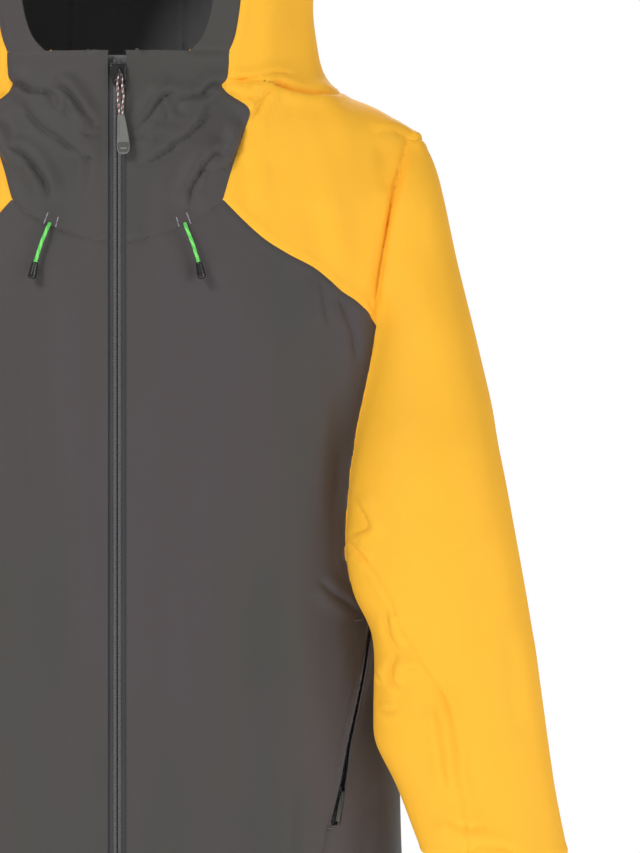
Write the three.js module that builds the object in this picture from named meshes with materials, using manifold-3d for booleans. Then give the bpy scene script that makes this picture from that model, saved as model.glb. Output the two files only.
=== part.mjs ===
// Hardshell jacket, hood up, as it hangs on an unseen body. Millimetres, +Z up, front faces -Y,
// +X is the wearer's left. The garment is laid out with its hem at z = 0 and the zip at x = 0,
// and the whole is then moved so that the origin is the underside of the hang loop.
import * as THREE from 'three';
import { mergeVertices } from 'three/addons/utils/BufferGeometryUtils.js';
import Module from 'manifold-3d';

const wasm = await Module();
wasm.setup();

// ---- driving dimensions ----
const wall = 2;                    // thickness of a fabric layer with its seam and lining
const gap = 0.4;                   // clearance between neighbouring pieces
const shoulderClearance = 1.3;     // between the sleeve and the body it swings beside
const hangPoint = { y: 78, z: 680 };
const neckSeam = 700;              // height of the seam between neck and hood
const collarTop = 722;             // top edge of the collar in front
const collarHalfWidth = 90;        // collar in front, above the neck seam
const zipOpening = 7.6;            // half width of the gap between the two fronts
const zipTop = 715;
const zipBottom = 16;
const yokeBackHeight = 560;        // seam between back panel and back yoke
const backHalfWidth = 150;         // back panel, from the middle to the side panel seam
const backYokeHalfWidth = 70;
const cuffTop = 60;
const pocketTop = { x: 207, z: 246 };
const pocketEnd = { x: 174, z: 82 };
const pocketGap = 8;
const shoulderPivot = { x: 235, z: 540 };
const shoulderRadius = 117;        // the sleeve turns outside this radius about the shoulder pivot
const sliderHeight = 20;
const sliderTop = 710;
const pullPivot = { x: 2.7, y: -106.9, z: 699 };

// Sections: height, centre x, half width, y of the widest line, front y, back y, roundness.
const bodySections = [
  [0, 0, 238, 0, -100, 95, 2.3],
  [116, 0, 233, 0, -100, 95, 2.3],
  [180, 0, 227, 0, -100, 94, 2.3],
  [260, 0, 217, 0, -100, 92, 2.3],
  [330, 0, 211, 0, -100, 92, 2.3],
  [400, 0, 212, 0, -100, 92, 2.3],
  [450, 0, 226, 0, -100, 94, 2.2],
  [500, 0, 240, 0, -100, 98, 2.1],
  [550, 0, 246, 2, -100, 102, 2.0],
  [600, 0, 250, 5, -100, 104, 1.8],
  [640, 0, 248, 8, -100, 100, 1.6],
  [666, 0, 228, 8, -100, 94, 1.5],
  [686, 0, 187, 6, -100, 88, 1.5],
  [neckSeam, 0, 160, 3, -100, 84, 1.7],
  [collarTop, 0, 156, 3, -100, 84, 1.9],
];
const hoodSections = [
  [neckSeam + gap, 0, 160, 3, -100, 84, 1.7],
  [collarTop, 0, 156, 3, -100, 88, 1.9],
  [760, 0, 158, 3, -103, 106, 2.1],
  [810, 0, 163, 3, -108, 136, 2.2],
  [860, 0, 165, 3, -113, 150, 2.2],
  [910, 0, 160, 3, -118, 144, 2.2],
  [955, 0, 144, 3, -122, 122, 2.2],
  [990, 0, 112, 3, -122, 90, 2.1],
  [1014, 0, 74, 3, -104, 58, 2.0],
  [1028, 0, 30, 3, -60, 30, 2.0],
];
const sleeveSections = [
  [14, 326, 55, -78, -116, -40, 2],
  [cuffTop, 311, 60, -76, -116, -36, 2],
  [116, 295, 65, -74, -116, -32, 2],
  [168, 282, 71, -72, -116, -28, 2],
  [262, 274, 64, -70, -116, -24, 2],
  [320, 258, 70, -68, -114, -22, 2],
  [400, 256, 57, -52, -104, 0, 2],
  [425, 256, 53, -34, -92, 24, 2],
  [450, 255, 50, -22, -84, 40, 2],
  [500, 246, 46, -8, -74, 58, 2],
  [558, 240, 38, 0, -50, 50, 2],
  [600, 240, 29, 0, -38, 38, 2],
  [645, 245, 12, 0, -12, 12, 2],
];

// Seams, seen from the front, as [x, z].
const chestSeam = [[zipOpening, 565], [44, 574], [63, 582], [87, 600]];
const raglanSeam = [[108, 579], [142, 555], [165, 543], [181, 528], [211, 500], [225, 480], [262, 430]];
const collarEdge = [[101, 646], [108, 668], [94, neckSeam], [collarHalfWidth, collarTop + 1]];
const pocketSeam = [[217, 300], [pocketTop.x, pocketTop.z], [pocketEnd.x, pocketEnd.z], [158, -1]];
const underSleeveSeam = [[188, 340], [214, 284], [228, 263], [244, 228], [262, 188], [270, 116], [276, 10]];

// ---- materials ----
function material(color, roughness, metalness = 0) {
  return new THREE.MeshStandardMaterial({ color, roughness, metalness });
}
const darkFabric = () => material(0x4f4a4a, 0.85);
const yellowFabric = () => material(0xffbf39, 0.8);
const tapeFabric = () => material(0x434144, 0.9);
const blackPlastic = () => material(0x1c1b1a, 0.35);
const greyRubber = () => material(0x7a7a77, 0.6);
const greenCord = () => material(0x63d463, 0.8);
const pullCordFabric = () => material(0xb59a90, 0.85);

// ---- solids ----
function toSolid(geometry) {
  const bare = geometry.clone();
  bare.deleteAttribute('normal');
  bare.deleteAttribute('uv');
  const merged = mergeVertices(bare, 1e-4);
  return new wasm.Manifold(new wasm.Mesh({
    numProp: 3,
    vertProperties: new Float32Array(merged.attributes.position.array),
    triVerts: new Uint32Array(merged.index.array),
  }));
}

function toGeometry(solid) {
  const mesh = solid.getMesh();
  const geometry = new THREE.BufferGeometry();
  geometry.setAttribute('position', new THREE.BufferAttribute(mesh.vertProperties, 3));
  geometry.setIndex(new THREE.BufferAttribute(mesh.triVerts, 1));
  return geometry;
}

// Point of a section in direction (c, s); grow moves the whole outline outwards.
function sectionPoint([, centreX, halfWidth, sideY, frontY, backY, roundness], c, s, grow) {
  const depth = s < 0 ? sideY - frontY : backY - sideY;
  return [
    centreX + (halfWidth + grow) * Math.sign(c) * Math.abs(c) ** (2 / roundness),
    sideY + (depth + grow) * Math.sign(s) * Math.abs(s) ** (2 / roundness),
  ];
}

// The same sections carried on past both ends, or cut back at the top where above is negative.
function extended(sections, below, above) {
  const [first, last] = [sections[0], sections[sections.length - 1]];
  const longer = [[first[0] - below, ...first.slice(1)], ...sections.slice(0, -1)];
  if (above > 0) {
    longer.push(last);
  }
  longer.push([last[0] + above, ...last.slice(1)]);
  return longer;
}

// Closed solid through the sections: a capped cylinder whose rings are moved onto them.
function loft(sections, around, grow = 0) {
  const rows = sections.length - 1;
  const geometry = new THREE.CylinderGeometry(1, 1, 1, around, rows);
  const position = geometry.attributes.position;
  for (let i = 0; i < position.count; i += 1) {
    const row = Math.round((position.getY(i) + 0.5) * rows);
    const radius = Math.hypot(position.getX(i), position.getZ(i));
    const section = sections[row];
    if (radius < 0.5) {
      position.setXYZ(i, section[1], section[3], section[0]);
    } else {
      const [x, y] = sectionPoint(section, position.getX(i), -position.getZ(i), grow);
      position.setXYZ(i, x, y, section[0]);
    }
  }
  return toSolid(geometry);
}

// Prism with the given outline in the front view, from y0 to y1.
function prism(outline, y0, y1) {
  const shape = new THREE.Shape(outline.map(([x, z]) => new THREE.Vector2(x, z)));
  const geometry = new THREE.ExtrudeGeometry(shape, { depth: y1 - y0, bevelEnabled: false });
  geometry.rotateX(Math.PI / 2);
  geometry.translate(0, y1, 0);
  return toSolid(geometry);
}

function rectangle(x0, x1, z0, z1) {
  return [[x0, z0], [x1, z0], [x1, z1], [x0, z1]];
}

function block(x0, x1, y0, y1, z0, z1) {
  return prism(rectangle(x0, x1, z0, z1), y0, y1);
}

function flipped(outline) {
  return outline.map(([x, z]) => [-x, z]);
}

function mirroredSolid(solid) {
  return solid.mirror([1, 0, 0]);
}

// Cuts a piece out of the stock along an outline, and leaves a seam gap around it.
function carve(stock, outline, y0, y1) {
  const piece = stock.intersect(prism(outline, y0, y1));
  let rest = stock.subtract(prism(outline, y0 - gap, y1 + gap));
  for (const [dx, dz] of [[gap, 0], [-gap, 0], [0, gap], [0, -gap]]) {
    const shifted = outline.map(([x, z]) => [x + dx, z + dz]);
    rest = rest.subtract(prism(shifted, y0 - gap, y1 + gap));
  }
  return [piece, rest];
}

// ---- the model ----
const jacket = new THREE.Group();
const garment = new THREE.Group();
garment.position.set(0, -hangPoint.y, -hangPoint.z);
jacket.add(garment);

function addMesh(name, geometry, surface) {
  const mesh = new THREE.Mesh(geometry, surface);
  mesh.name = name;
  garment.add(mesh);
  return mesh;
}

function addSolid(name, solid, surface) {
  addMesh(name, toGeometry(solid), surface);
}

function addPair(name, solid, surface) {
  addSolid(`${name}_left`, solid, surface());
  addSolid(`${name}_right`, mirroredSolid(solid), surface());
}

// ---- shells ----
const bodyAround = 36;
const hoodAround = 28;
const sleeveAround = 18;
const bodyOuter = loft(bodySections, bodyAround);
const bodyInner = loft(extended(bodySections, 5, 5), bodyAround, -wall);
const sleeveOuter = loft(sleeveSections, sleeveAround);
const sleeveInner = loft(extended(sleeveSections, 5, -wall), sleeveAround, -wall);

let body = bodyOuter.subtract(bodyInner);
body = body.subtract(block(-zipOpening, zipOpening, -130, 0, -5, 740));
body = body.subtract(block(collarHalfWidth, 300, -130, 130, neckSeam, 740));
body = body.subtract(block(-300, -collarHalfWidth, -130, 130, neckSeam, 740));
body = body.subtract(block(-100, 100, 0, 130, neckSeam, 740));
body = body.subtract(block(-12.4, 12.4, -98.6, -80, -5, 740));
body = body.subtract(sleeveInner).subtract(mirroredSolid(sleeveInner));

// slits where the hood drawcords leave the chest seam
const cordExit = { x: 55.6, z: 579.4 };
for (const side of [1, -1]) {
  const slit = new THREE.CylinderGeometry(2.2, 2.2, 30, 10);
  slit.translate(side * cordExit.x, -95, cordExit.z);
  body = body.subtract(toSolid(slit));
}

// ---- body panels ----
const collarOutline = [...chestSeam, ...collarEdge, [zipOpening - 1, collarTop + 1]];
const frontOutline = [
  [zipOpening - 1, -1], [zipOpening - 1, 565], ...chestSeam.slice(1), ...raglanSeam,
  [262, 310], ...pocketSeam,
];
const backPanelOutline = rectangle(-backHalfWidth, backHalfWidth, -1, yokeBackHeight);
const backYokeOutline = rectangle(-backYokeHalfWidth, backYokeHalfWidth, yokeBackHeight, neckSeam + 1);
const shoulderOutline = [
  [0, yokeBackHeight], [135, yokeBackHeight], ...raglanSeam.slice(1), [300, 430], [300, 740], [0, 740],
];
const [backPanel, withoutBack] = carve(body, backPanelOutline, 0, 130);
const [backYoke, withoutYoke] = carve(withoutBack, backYokeOutline, 0, 130);
const leftHalf = withoutYoke.intersect(block(0, 400, -200, 200, -5, 740));
const [collarPanel, withoutCollar] = carve(leftHalf, collarOutline, -130, 0);
const [frontPanel, withoutFront] = carve(withoutCollar, frontOutline, -130, 0);
const [shoulderYoke, sideStock] = carve(withoutFront, shoulderOutline, -130, 130);
const pocketSlit = [
  [pocketTop.x - 2, pocketTop.z], [pocketTop.x + pocketGap, pocketTop.z],
  [pocketEnd.x + pocketGap + 2, pocketEnd.z - 3], [pocketEnd.x - 3, pocketEnd.z - 3],
];
const sidePanel = sideStock.subtract(prism(pocketSlit, -130, 0));

addSolid('back_panel', backPanel, darkFabric());
addSolid('back_yoke', backYoke, yellowFabric());
addPair('front_panel', frontPanel, darkFabric);
addPair('side_panel', sidePanel, darkFabric);
addPair('collar_panel', collarPanel, darkFabric);
addPair('shoulder_yoke', shoulderYoke, yellowFabric);

// ---- sleeves ----
const bodyClearance = loft(extended(bodySections, 5, 5), bodyAround, shoulderClearance);
const wholeSleeve = sleeveOuter.subtract(sleeveInner).subtract(bodyClearance);
function shoulderRound(radius) {
  const geometry = new THREE.CylinderGeometry(radius, radius, 300, 40);
  geometry.translate(shoulderPivot.x, 0, shoulderPivot.z);
  return toSolid(geometry);
}
addPair('sleeve_cap', wholeSleeve.intersect(shoulderRound(shoulderRadius)), yellowFabric);
const sleeve = wholeSleeve.subtract(shoulderRound(shoulderRadius + gap));
const [cuff, aboveCuff] = carve(sleeve, rectangle(200, 420, 0, cuffTop), -200, 100);
const [underSleeve, upperSleeve] = carve(aboveCuff, [...underSleeveSeam, [150, 10], [150, 340]], -200, 100);
addPair('sleeve_upper', upperSleeve, yellowFabric);
addPair('sleeve_under', underSleeve, yellowFabric);
addPair('cuff', cuff, darkFabric);

function sleeveLayer(inner, outer) {
  const longSleeve = extended(sleeveSections, 5, 5);
  return loft(sleeveSections, sleeveAround, outer).subtract(loft(longSleeve, sleeveAround, inner));
}
const loopPatch = sleeveLayer(gap, 1.6).intersect(block(352, 420, -112, -50, 24, 50));
const cuffTab = sleeveLayer(2.2, 4.2).intersect(block(350, 420, -114, -46, 25, 49));
addPair('cuff_loop_patch', loopPatch, darkFabric);
addPair('cuff_tab', cuffTab, darkFabric);

// ---- hood ----
const faceOpening = [
  [0, collarTop + 1], [60, collarTop + 1], [80, 760], [86, 830], [82, 900], [66, 952], [34, 978], [0, 984],
];
const faceSurround = [
  [0, collarTop], [collarHalfWidth + 12, collarTop], [102, 760], [108, 830], [104, 905], [86, 964],
  [44, 996], [0, 1003],
];
const wholeOutline = (half) => [...half, ...flipped(half).reverse().slice(1, -1)];
const hoodInner = loft(extended(hoodSections, 5, -wall), hoodAround, -wall);
let hood = loft(hoodSections, hoodAround).subtract(hoodInner);
hood = hood.subtract(block(-collarHalfWidth - gap, collarHalfWidth + gap, -200, 0, 690, collarTop + gap));
hood = hood.subtract(prism(wholeOutline(faceOpening), -200, 0));
const [hoodBrim, withoutBrim] = carve(hood, wholeOutline(faceSurround), -200, -20);
const [hoodCentre, hoodRest] = carve(withoutBrim, rectangle(-48, 48, 690, 1100), -200, 200);
addSolid('hood_brim', hoodBrim, darkFabric());
addSolid('hood_centre', hoodCentre, yellowFabric());
addPair('hood_side', hoodRest.intersect(block(0, 400, -200, 200, 690, 1100)), yellowFabric);

// ---- front zip ----
const tapeHeight = zipTop - zipBottom;
function boxMesh(name, size, centre, surface) {
  const mesh = addMesh(name, new THREE.BoxGeometry(...size), surface);
  mesh.position.set(...centre);
  return mesh;
}
const tapeCentre = zipBottom + tapeHeight / 2;
const tapeSize = [8.2, 1, tapeHeight];
const coilSize = [2.8, 3, tapeHeight];
const sides = [['left', 1], ['right', -1]];
for (const [name, side] of sides) {
  boxMesh(`zip_tape_${name}`, tapeSize, [side * 7.9, -97.7, tapeCentre], tapeFabric());
  boxMesh(`zip_coil_${name}`, coilSize, [side * 2, -97.9, tapeCentre], blackPlastic());
}
boxMesh('zip_bottom_box', [8, 4, 10], [0, -97.8, zipBottom - gap - 5], blackPlastic());
boxMesh('storm_flap', [44, 1.4, 704], [0, -89.2, 360], darkFabric());
boxMesh('chin_guard', [32, 1.8, 60], [0, -92.2, 691], darkFabric());

// slider: front plate, thin diamond between the coils, back plate and the bridge that holds the pull
const sliderBottom = sliderTop - sliderHeight;
const sliderFront = block(-6.5, 7.5, -103.4, -99.8, sliderBottom, sliderTop);
const sliderDiamond = block(-0.3, 0.3, -100, -95.6, sliderTop - 13, sliderTop - 3);
const sliderBack = block(-5.5, 5.5, -96, -94.4, sliderBottom, sliderTop);
const bridgeLeft = pullPivot.x - 0.7;
const bridgeRight = pullPivot.x + 0.7;
const bridgeHole = block(0, 5, -108.5, -103.4, sliderTop - 15.4, sliderTop - 4.6);
const bridge = block(bridgeLeft, bridgeRight, -110.4, -103, sliderTop - 17, sliderTop - 3);
const mainSlider = sliderFront.add(sliderDiamond).add(sliderBack).add(bridge.subtract(bridgeHole));
addSolid('main_slider', mainSlider, blackPlastic());

// pull: braided cord looped through the bridge, with a moulded tab on its two strands
const strandSpread = 1.9;
const tabTop = 668;
class PullLoop extends THREE.Curve {
  getPoint(t, target = new THREE.Vector3()) {
    const legLength = pullPivot.z - tabTop - gap;
    const total = 2 * legLength + Math.PI * strandSpread;
    const along = t * total;
    if (along < legLength) {
      return target.set(-strandSpread, 0, along - legLength);
    }
    if (along > total - legLength) {
      return target.set(strandSpread, 0, total - legLength - along);
    }
    const angle = (along - legLength) / strandSpread;
    return target.set(-strandSpread * Math.cos(angle), 0, strandSpread * Math.sin(angle));
  }
}
function roundSection(radius, sides) {
  const points = [];
  for (let i = 0; i < sides; i += 1) {
    const angle = (i / sides) * 2 * Math.PI;
    points.push(new THREE.Vector2(radius * Math.cos(angle), radius * Math.sin(angle)));
  }
  return new THREE.Shape(points);
}
function cordGeometry(curve, radius, steps) {
  return new THREE.ExtrudeGeometry(roundSection(radius, 8), { steps, extrudePath: curve });
}
const pullCord = addMesh('main_pull_cord', cordGeometry(new PullLoop(), 1, 26), pullCordFabric());
pullCord.position.set(pullPivot.x, pullPivot.y, pullPivot.z);

function roundedOutline(points, radius) {
  const shape = new THREE.Shape();
  points.forEach((point, i) => {
    const before = points[(i + points.length - 1) % points.length];
    const after = points[(i + 1) % points.length];
    const corner = new THREE.Vector2(...point);
    const from = new THREE.Vector2(...before).sub(corner).setLength(radius).add(corner);
    const to = new THREE.Vector2(...after).sub(corner).setLength(radius).add(corner);
    if (i === 0) {
      shape.moveTo(from.x, from.y);
    } else {
      shape.lineTo(from.x, from.y);
    }
    shape.quadraticCurveTo(corner.x, corner.y, to.x, to.y);
  });
  return shape;
}
const tabOutline = [[-2.9, 0], [-2.9, -32], [8, -32], [7.2, -22], [3.6, 0]];
const pullTab = new THREE.ExtrudeGeometry(roundedOutline(tabOutline, 1.4), {
  depth: 2.2, bevelEnabled: false, curveSegments: 3,
});
pullTab.rotateX(Math.PI / 2);
pullTab.translate(pullPivot.x, pullPivot.y + 1.1, tabTop);
addMesh('main_pull_tab', pullTab, greyRubber());

// ---- hand pockets: bag, and a straight zip in the slit beside the front panel ----
const pocketBagOutline = [[70, 96], [162, 86], [180, 170], [192, 244], [150, 262], [78, 236]];
const pocketBag = loft(bodySections, bodyAround, -12)
  .subtract(loft(extended(bodySections, 5, 5), bodyAround, -14))
  .intersect(prism(pocketBagOutline, -130, 0));
addPair('pocket_bag', pocketBag, darkFabric);

const pocketLow = new THREE.Vector3(pocketEnd.x + 4.6, -69.5, pocketEnd.z);
const pocketHigh = new THREE.Vector3(pocketTop.x + 3.6, -34, pocketTop.z);
const pocketAlong = pocketHigh.clone().sub(pocketLow);
const pocketLength = pocketAlong.length();
pocketAlong.normalize();
// outwards from the side of the body, made square to the slit
const pocketOut = new THREE.Vector3(0.66, -0.75, 0);
pocketOut.addScaledVector(pocketAlong, -pocketOut.dot(pocketAlong)).normalize();
const pocketAcross = new THREE.Vector3().crossVectors(pocketOut, pocketAlong);
// local x across the slit, y outwards, z along it
const pocketFrame = new THREE.Matrix4().makeBasis(pocketAcross, pocketOut, pocketAlong);
pocketFrame.setPosition(pocketLow);
function pocketBlock(x0, x1, y0, y1, z0, z1) {
  const geometry = new THREE.BoxGeometry(x1 - x0, y1 - y0, z1 - z0);
  geometry.translate((x0 + x1) / 2, (y0 + y1) / 2, (z0 + z1) / 2);
  geometry.applyMatrix4(pocketFrame);
  return toSolid(geometry);
}

addPair('pocket_zip', pocketBlock(-4, 4, -5.6, -4, 0.5, pocketLength - 0.5), tapeFabric);
addPair('pocket_slider', pocketBlock(-3, 3, -3.5, 1.4, 24, 34), blackPlastic);
addPair('pocket_pull', pocketBlock(-2, 2, 1.9, 3.3, 4, 30), greyRubber);

// ---- hood drawcords ----
const cordRoute = [
  [55.4, -89, 580.2], [55.5, -95, 579.8], [56, -99.6, 578.6], [57.4, -102.2, 575], [59.6, -102.8, 569.5],
  [62, -102.9, 563.5], [64.6, -102.9, 555.5], [67, -102.9, 547.6],
];
const cordRadius = 1.45;
function drawcord(side) {
  const points = cordRoute.map(([x, y, z]) => new THREE.Vector3(side * x, y, z));
  return cordGeometry(new THREE.CatmullRomCurve3(points), cordRadius, 14);
}
function cordEnd(side) {
  const profile = [[0, 0], [2.6, 0], [3, 1.4], [3.5, 11], [3, 13.4], [0, 14]];
  const geometry = new THREE.LatheGeometry(profile.map(([r, y]) => new THREE.Vector2(r, y)), 12);
  geometry.rotateZ(Math.PI);
  geometry.rotateX(Math.PI / 2);
  geometry.rotateY(-side * 0.22);
  geometry.translate(side * 67.1, -102.9, 547.1);
  return geometry;
}
for (const [name, side] of sides) {
  addMesh(`hood_cord_${name}`, drawcord(side), greenCord());
  addMesh(`hood_cord_end_${name}`, cordEnd(side), blackPlastic());
  boxMesh(`hood_cord_lock_${name}`, [14, 8, 18], [side * 55.4, -84.6, 580.2], blackPlastic());
}

// ---- hem drawcord, its locks and their buttons ----
const hemCordHeight = 14;
const hemInset = -9;
const lockOuter = 6;
const lockInner = 4.3;
const lockHeight = 8;
const buttonRise = 14;             // from the foot of the lock to the middle of its button
function hemPoint(angle) {
  const section = [hemCordHeight, ...bodySections[0].slice(1)];
  const [x, y] = sectionPoint(section, Math.cos(angle), Math.sin(angle), hemInset);
  return new THREE.Vector3(x, y, hemCordHeight);
}
const lockAngle = -0.905;
const cordStart = -0.84;
const hemPoints = [];
for (let i = 0; i <= 36; i += 1) {
  hemPoints.push(hemPoint(cordStart + (Math.PI - 2 * cordStart) * (i / 36)));
}
addMesh('hem_cord', cordGeometry(new THREE.CatmullRomCurve3(hemPoints), 1.5, 30), blackPlastic());

const lockProfile = [
  [0, 0], [lockOuter, 0], [lockOuter, 12], [lockInner, 12], [lockInner, 4], [0, 4],
].map(([r, y]) => new THREE.Vector2(r, y));
const lockCentre = hemPoint(lockAngle);
for (const [name, side] of sides) {
  const lock = addMesh(`hem_lock_${name}`, new THREE.LatheGeometry(lockProfile, 16), blackPlastic());
  lock.rotation.x = Math.PI / 2;
  lock.position.set(side * lockCentre.x, lockCentre.y, lockHeight);
  const button = addMesh(`hem_button_${name}`, new THREE.CylinderGeometry(4, 4, 12, 16), blackPlastic());
  button.rotation.x = Math.PI / 2;
  button.position.set(side * lockCentre.x, lockCentre.y, lockHeight + buttonRise);
}

// ---- hang loop: strap on two legs inside the back neck; a hook bears on its underside ----
const loopHalf = 20;
const loopFoot = -16;
const loopThickness = 2;
const loopWidth = 8;
const loopInner = loopHalf - loopThickness;
const loopShape = new THREE.Shape([
  [-loopHalf, loopFoot], [-loopHalf, loopThickness], [loopHalf, loopThickness], [loopHalf, loopFoot],
  [loopInner, loopFoot], [loopInner, 0], [-loopInner, 0], [-loopInner, loopFoot],
].map(([x, z]) => new THREE.Vector2(x, z)));
const hangLoop = new THREE.ExtrudeGeometry(loopShape, { depth: loopWidth, bevelEnabled: false });
hangLoop.rotateX(Math.PI / 2);
hangLoop.translate(0, hangPoint.y + loopWidth / 2, hangPoint.z);
addMesh('hang_loop', hangLoop, tapeFabric());

export default jacket;
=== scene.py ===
"""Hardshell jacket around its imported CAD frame.

Garment coordinates are in millimetres: hem at z = 0, zip at x = 0, front towards -y, the wearer's
left towards +x. row() turns them into the frame's metres.
"""
import math

import bmesh
import bpy
import numpy as np
import openvdb
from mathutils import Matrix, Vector
from mathutils.bvhtree import BVHTree
from mathutils.kdtree import KDTree


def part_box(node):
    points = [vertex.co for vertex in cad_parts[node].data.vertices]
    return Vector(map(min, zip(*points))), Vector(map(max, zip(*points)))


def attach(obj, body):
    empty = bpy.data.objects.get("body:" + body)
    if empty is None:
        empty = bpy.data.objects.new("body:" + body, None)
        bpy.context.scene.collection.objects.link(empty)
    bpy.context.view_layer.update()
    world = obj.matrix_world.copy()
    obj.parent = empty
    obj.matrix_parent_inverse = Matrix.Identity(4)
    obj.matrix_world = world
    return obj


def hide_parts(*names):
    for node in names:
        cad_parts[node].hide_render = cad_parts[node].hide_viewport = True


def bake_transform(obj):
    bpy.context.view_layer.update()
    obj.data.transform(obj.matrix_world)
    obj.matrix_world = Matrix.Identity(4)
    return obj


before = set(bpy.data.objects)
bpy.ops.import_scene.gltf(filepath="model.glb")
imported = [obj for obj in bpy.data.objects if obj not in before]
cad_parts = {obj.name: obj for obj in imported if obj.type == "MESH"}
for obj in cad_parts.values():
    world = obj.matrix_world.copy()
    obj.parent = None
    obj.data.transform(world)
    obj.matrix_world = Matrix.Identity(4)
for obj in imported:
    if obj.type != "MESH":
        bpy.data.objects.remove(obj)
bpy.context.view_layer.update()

MM = 0.001
FRONT_Y = -100.0
panel_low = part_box("front_panel_left")[0]
OFFSET = np.array([0.0, panel_low.y - FRONT_Y * MM, panel_low.z])
SIDES = (("left", 1.0), ("right", -1.0))


def row(points):
    """Garment millimetres to the frame's metres."""
    return np.asarray(points, float) * MM + OFFSET


# ---------------------------------------------------------------- camera
VIEW_LEFT, VIEW_RIGHT, VIEW_LOW, VIEW_HIGH = -96.0, 429.0, 63.0, 763.0
CAMERA_DISTANCE = 3.6
SENSOR = 24.0


def make_camera():
    data = bpy.data.cameras.new("camera")
    camera = bpy.data.objects.new("camera", data)
    bpy.context.scene.collection.objects.link(camera)
    middle = row(((VIEW_LEFT + VIEW_RIGHT) / 2, FRONT_Y, (VIEW_LOW + VIEW_HIGH) / 2))
    camera.location = (middle[0], middle[1] - CAMERA_DISTANCE, middle[2])
    camera.rotation_euler = (math.pi / 2, 0, 0)
    data.sensor_fit = "VERTICAL"
    data.sensor_height = SENSOR
    data.lens = SENSOR * CAMERA_DISTANCE / ((VIEW_HIGH - VIEW_LOW) * MM)
    data.clip_start = 0.1
    data.clip_end = 50
    bpy.context.scene.camera = camera


make_camera()


# ---------------------------------------------------------------- swept pieces
def new_object(name, data):
    piece = bpy.data.objects.new(name, data)
    bpy.context.scene.collection.objects.link(piece)
    return piece


def mesh_object(name, points, faces, materials, face_materials=None, smooth=True):
    """points in garment millimetres."""
    data = bpy.data.meshes.new(name)
    data.from_pydata([tuple(p) for p in row(points)], [], [tuple(int(i) for i in f) for f in faces])
    for surface in materials:
        data.materials.append(surface)
    if face_materials is not None:
        data.polygons.foreach_set("material_index", np.asarray(face_materials, np.int32))
    data.polygons.foreach_set("use_smooth", np.full(len(data.polygons), smooth))
    data.update()
    return new_object(name, data)


def sweep(name, rings, materials, face_materials=None, closed=False, place=None):
    """A closed mesh through rings of equally many points; place moves them into garment millimetres."""
    rings = np.array(rings, float)
    count, size = rings.shape[:2]
    points = rings.reshape(-1, 3)
    if place is not None:
        points = place(points)
    last = count if closed else count - 1
    i, j = np.meshgrid(np.arange(last), np.arange(size), indexing="ij")
    a, b = i * size, ((i + 1) % count) * size
    k = (j + 1) % size
    faces = np.stack([a + j, a + k, b + k, b + j], -1).reshape(-1, 4).tolist()
    kinds = np.zeros(len(faces), np.int32) if face_materials is None else np.array(face_materials).reshape(-1)
    if not closed:
        faces += [list(range(size))[::-1], list(range((count - 1) * size, count * size))]
        kinds = np.concatenate([kinds, [0, 0]])
    piece = mesh_object(name, points, faces, materials, kinds)
    work = bmesh.new()
    work.from_mesh(piece.data)
    bmesh.ops.recalc_face_normals(work, faces=work.faces)
    work.to_mesh(piece.data)
    work.free()
    return piece


def resample(path, step):
    path = np.array(path, float)
    lengths = np.linalg.norm(np.diff(path, axis=0), axis=1)
    at = np.concatenate([[0], np.cumsum(lengths)])
    count = max(2, int(round(at[-1] / step)) + 1)
    wanted = np.linspace(0, at[-1], count)
    return np.stack([np.interp(wanted, at, column) for column in path.T], 1), wanted


def tube_rings(path, radius, around, step, reference=(0, 1, 0)):
    """Rings round a path. radius is a number or a function of the arc length and the angle."""
    centres, at = resample(path, step)
    tangent = np.gradient(centres, axis=0)
    tangent /= np.linalg.norm(tangent, axis=1, keepdims=True)
    side = np.cross(tangent, reference)
    side /= np.maximum(np.linalg.norm(side, axis=1, keepdims=True), 1e-9)
    other = np.cross(tangent, side)
    angle = np.arange(around) * 2 * math.pi / around
    r = radius(at[:, None], angle[None, :]) if callable(radius) else np.full((len(at), around), float(radius))
    return (centres[:, None] + (r * np.cos(angle))[..., None] * side[:, None]
            + (r * np.sin(angle))[..., None] * other[:, None])


def braided_cord(name, path, radius, materials, around=18, step=0.45, plait=4.0, reference=(0, 1, 0)):
    """Two sets of strands winding opposite ways; each field of the braid takes one of the materials."""
    lanes = 4

    def braid(at, angle):
        one = lanes * angle / (2 * math.pi) + at / plait
        two = lanes * angle / (2 * math.pi) - at / plait
        return radius * (0.93 + 0.1 * np.maximum(np.cos(2 * math.pi * one), np.cos(2 * math.pi * two)))

    rings = tube_rings(path, braid, around, step, reference)
    i, j = np.meshgrid(np.arange(len(rings) - 1), np.arange(around), indexing="ij")
    one = np.floor(lanes * j / around + i * step / plait).astype(int)
    two = np.floor(lanes * j / around - i * step / plait).astype(int)
    return sweep(name, rings, materials, (one + 2 * two) % len(materials))


def ribbon_rings(path, half_width, thickness, step=4.0):
    """Rings of a flat band. half_width is a vector, or one for each point of the path."""
    centres, at = resample(path, step)
    across = np.broadcast_to(np.array(half_width, float), centres.shape)
    tangent = np.gradient(centres, axis=0)
    normal = np.cross(tangent, across)
    normal /= np.linalg.norm(normal, axis=1, keepdims=True)
    places = [-1, -0.97, -0.5, 0, 0.5, 0.97, 1]
    depths = [0.2, 0.45, 0.5, 0.5, 0.5, 0.45, 0.2]
    section = [(p, d) for p, d in zip(places, depths)] + [(p, -d) for p, d in zip(places[::-1], depths[::-1])]
    return np.stack([centres + across * p + normal * d * thickness for p, d in section], 1)


def closed_curve(points, steps=5):
    p = np.array(points, float)
    looped = rounded(np.concatenate([p[-2:], p, p[:2]]), steps)
    return looped[2 * steps:-steps - 1]


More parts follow.
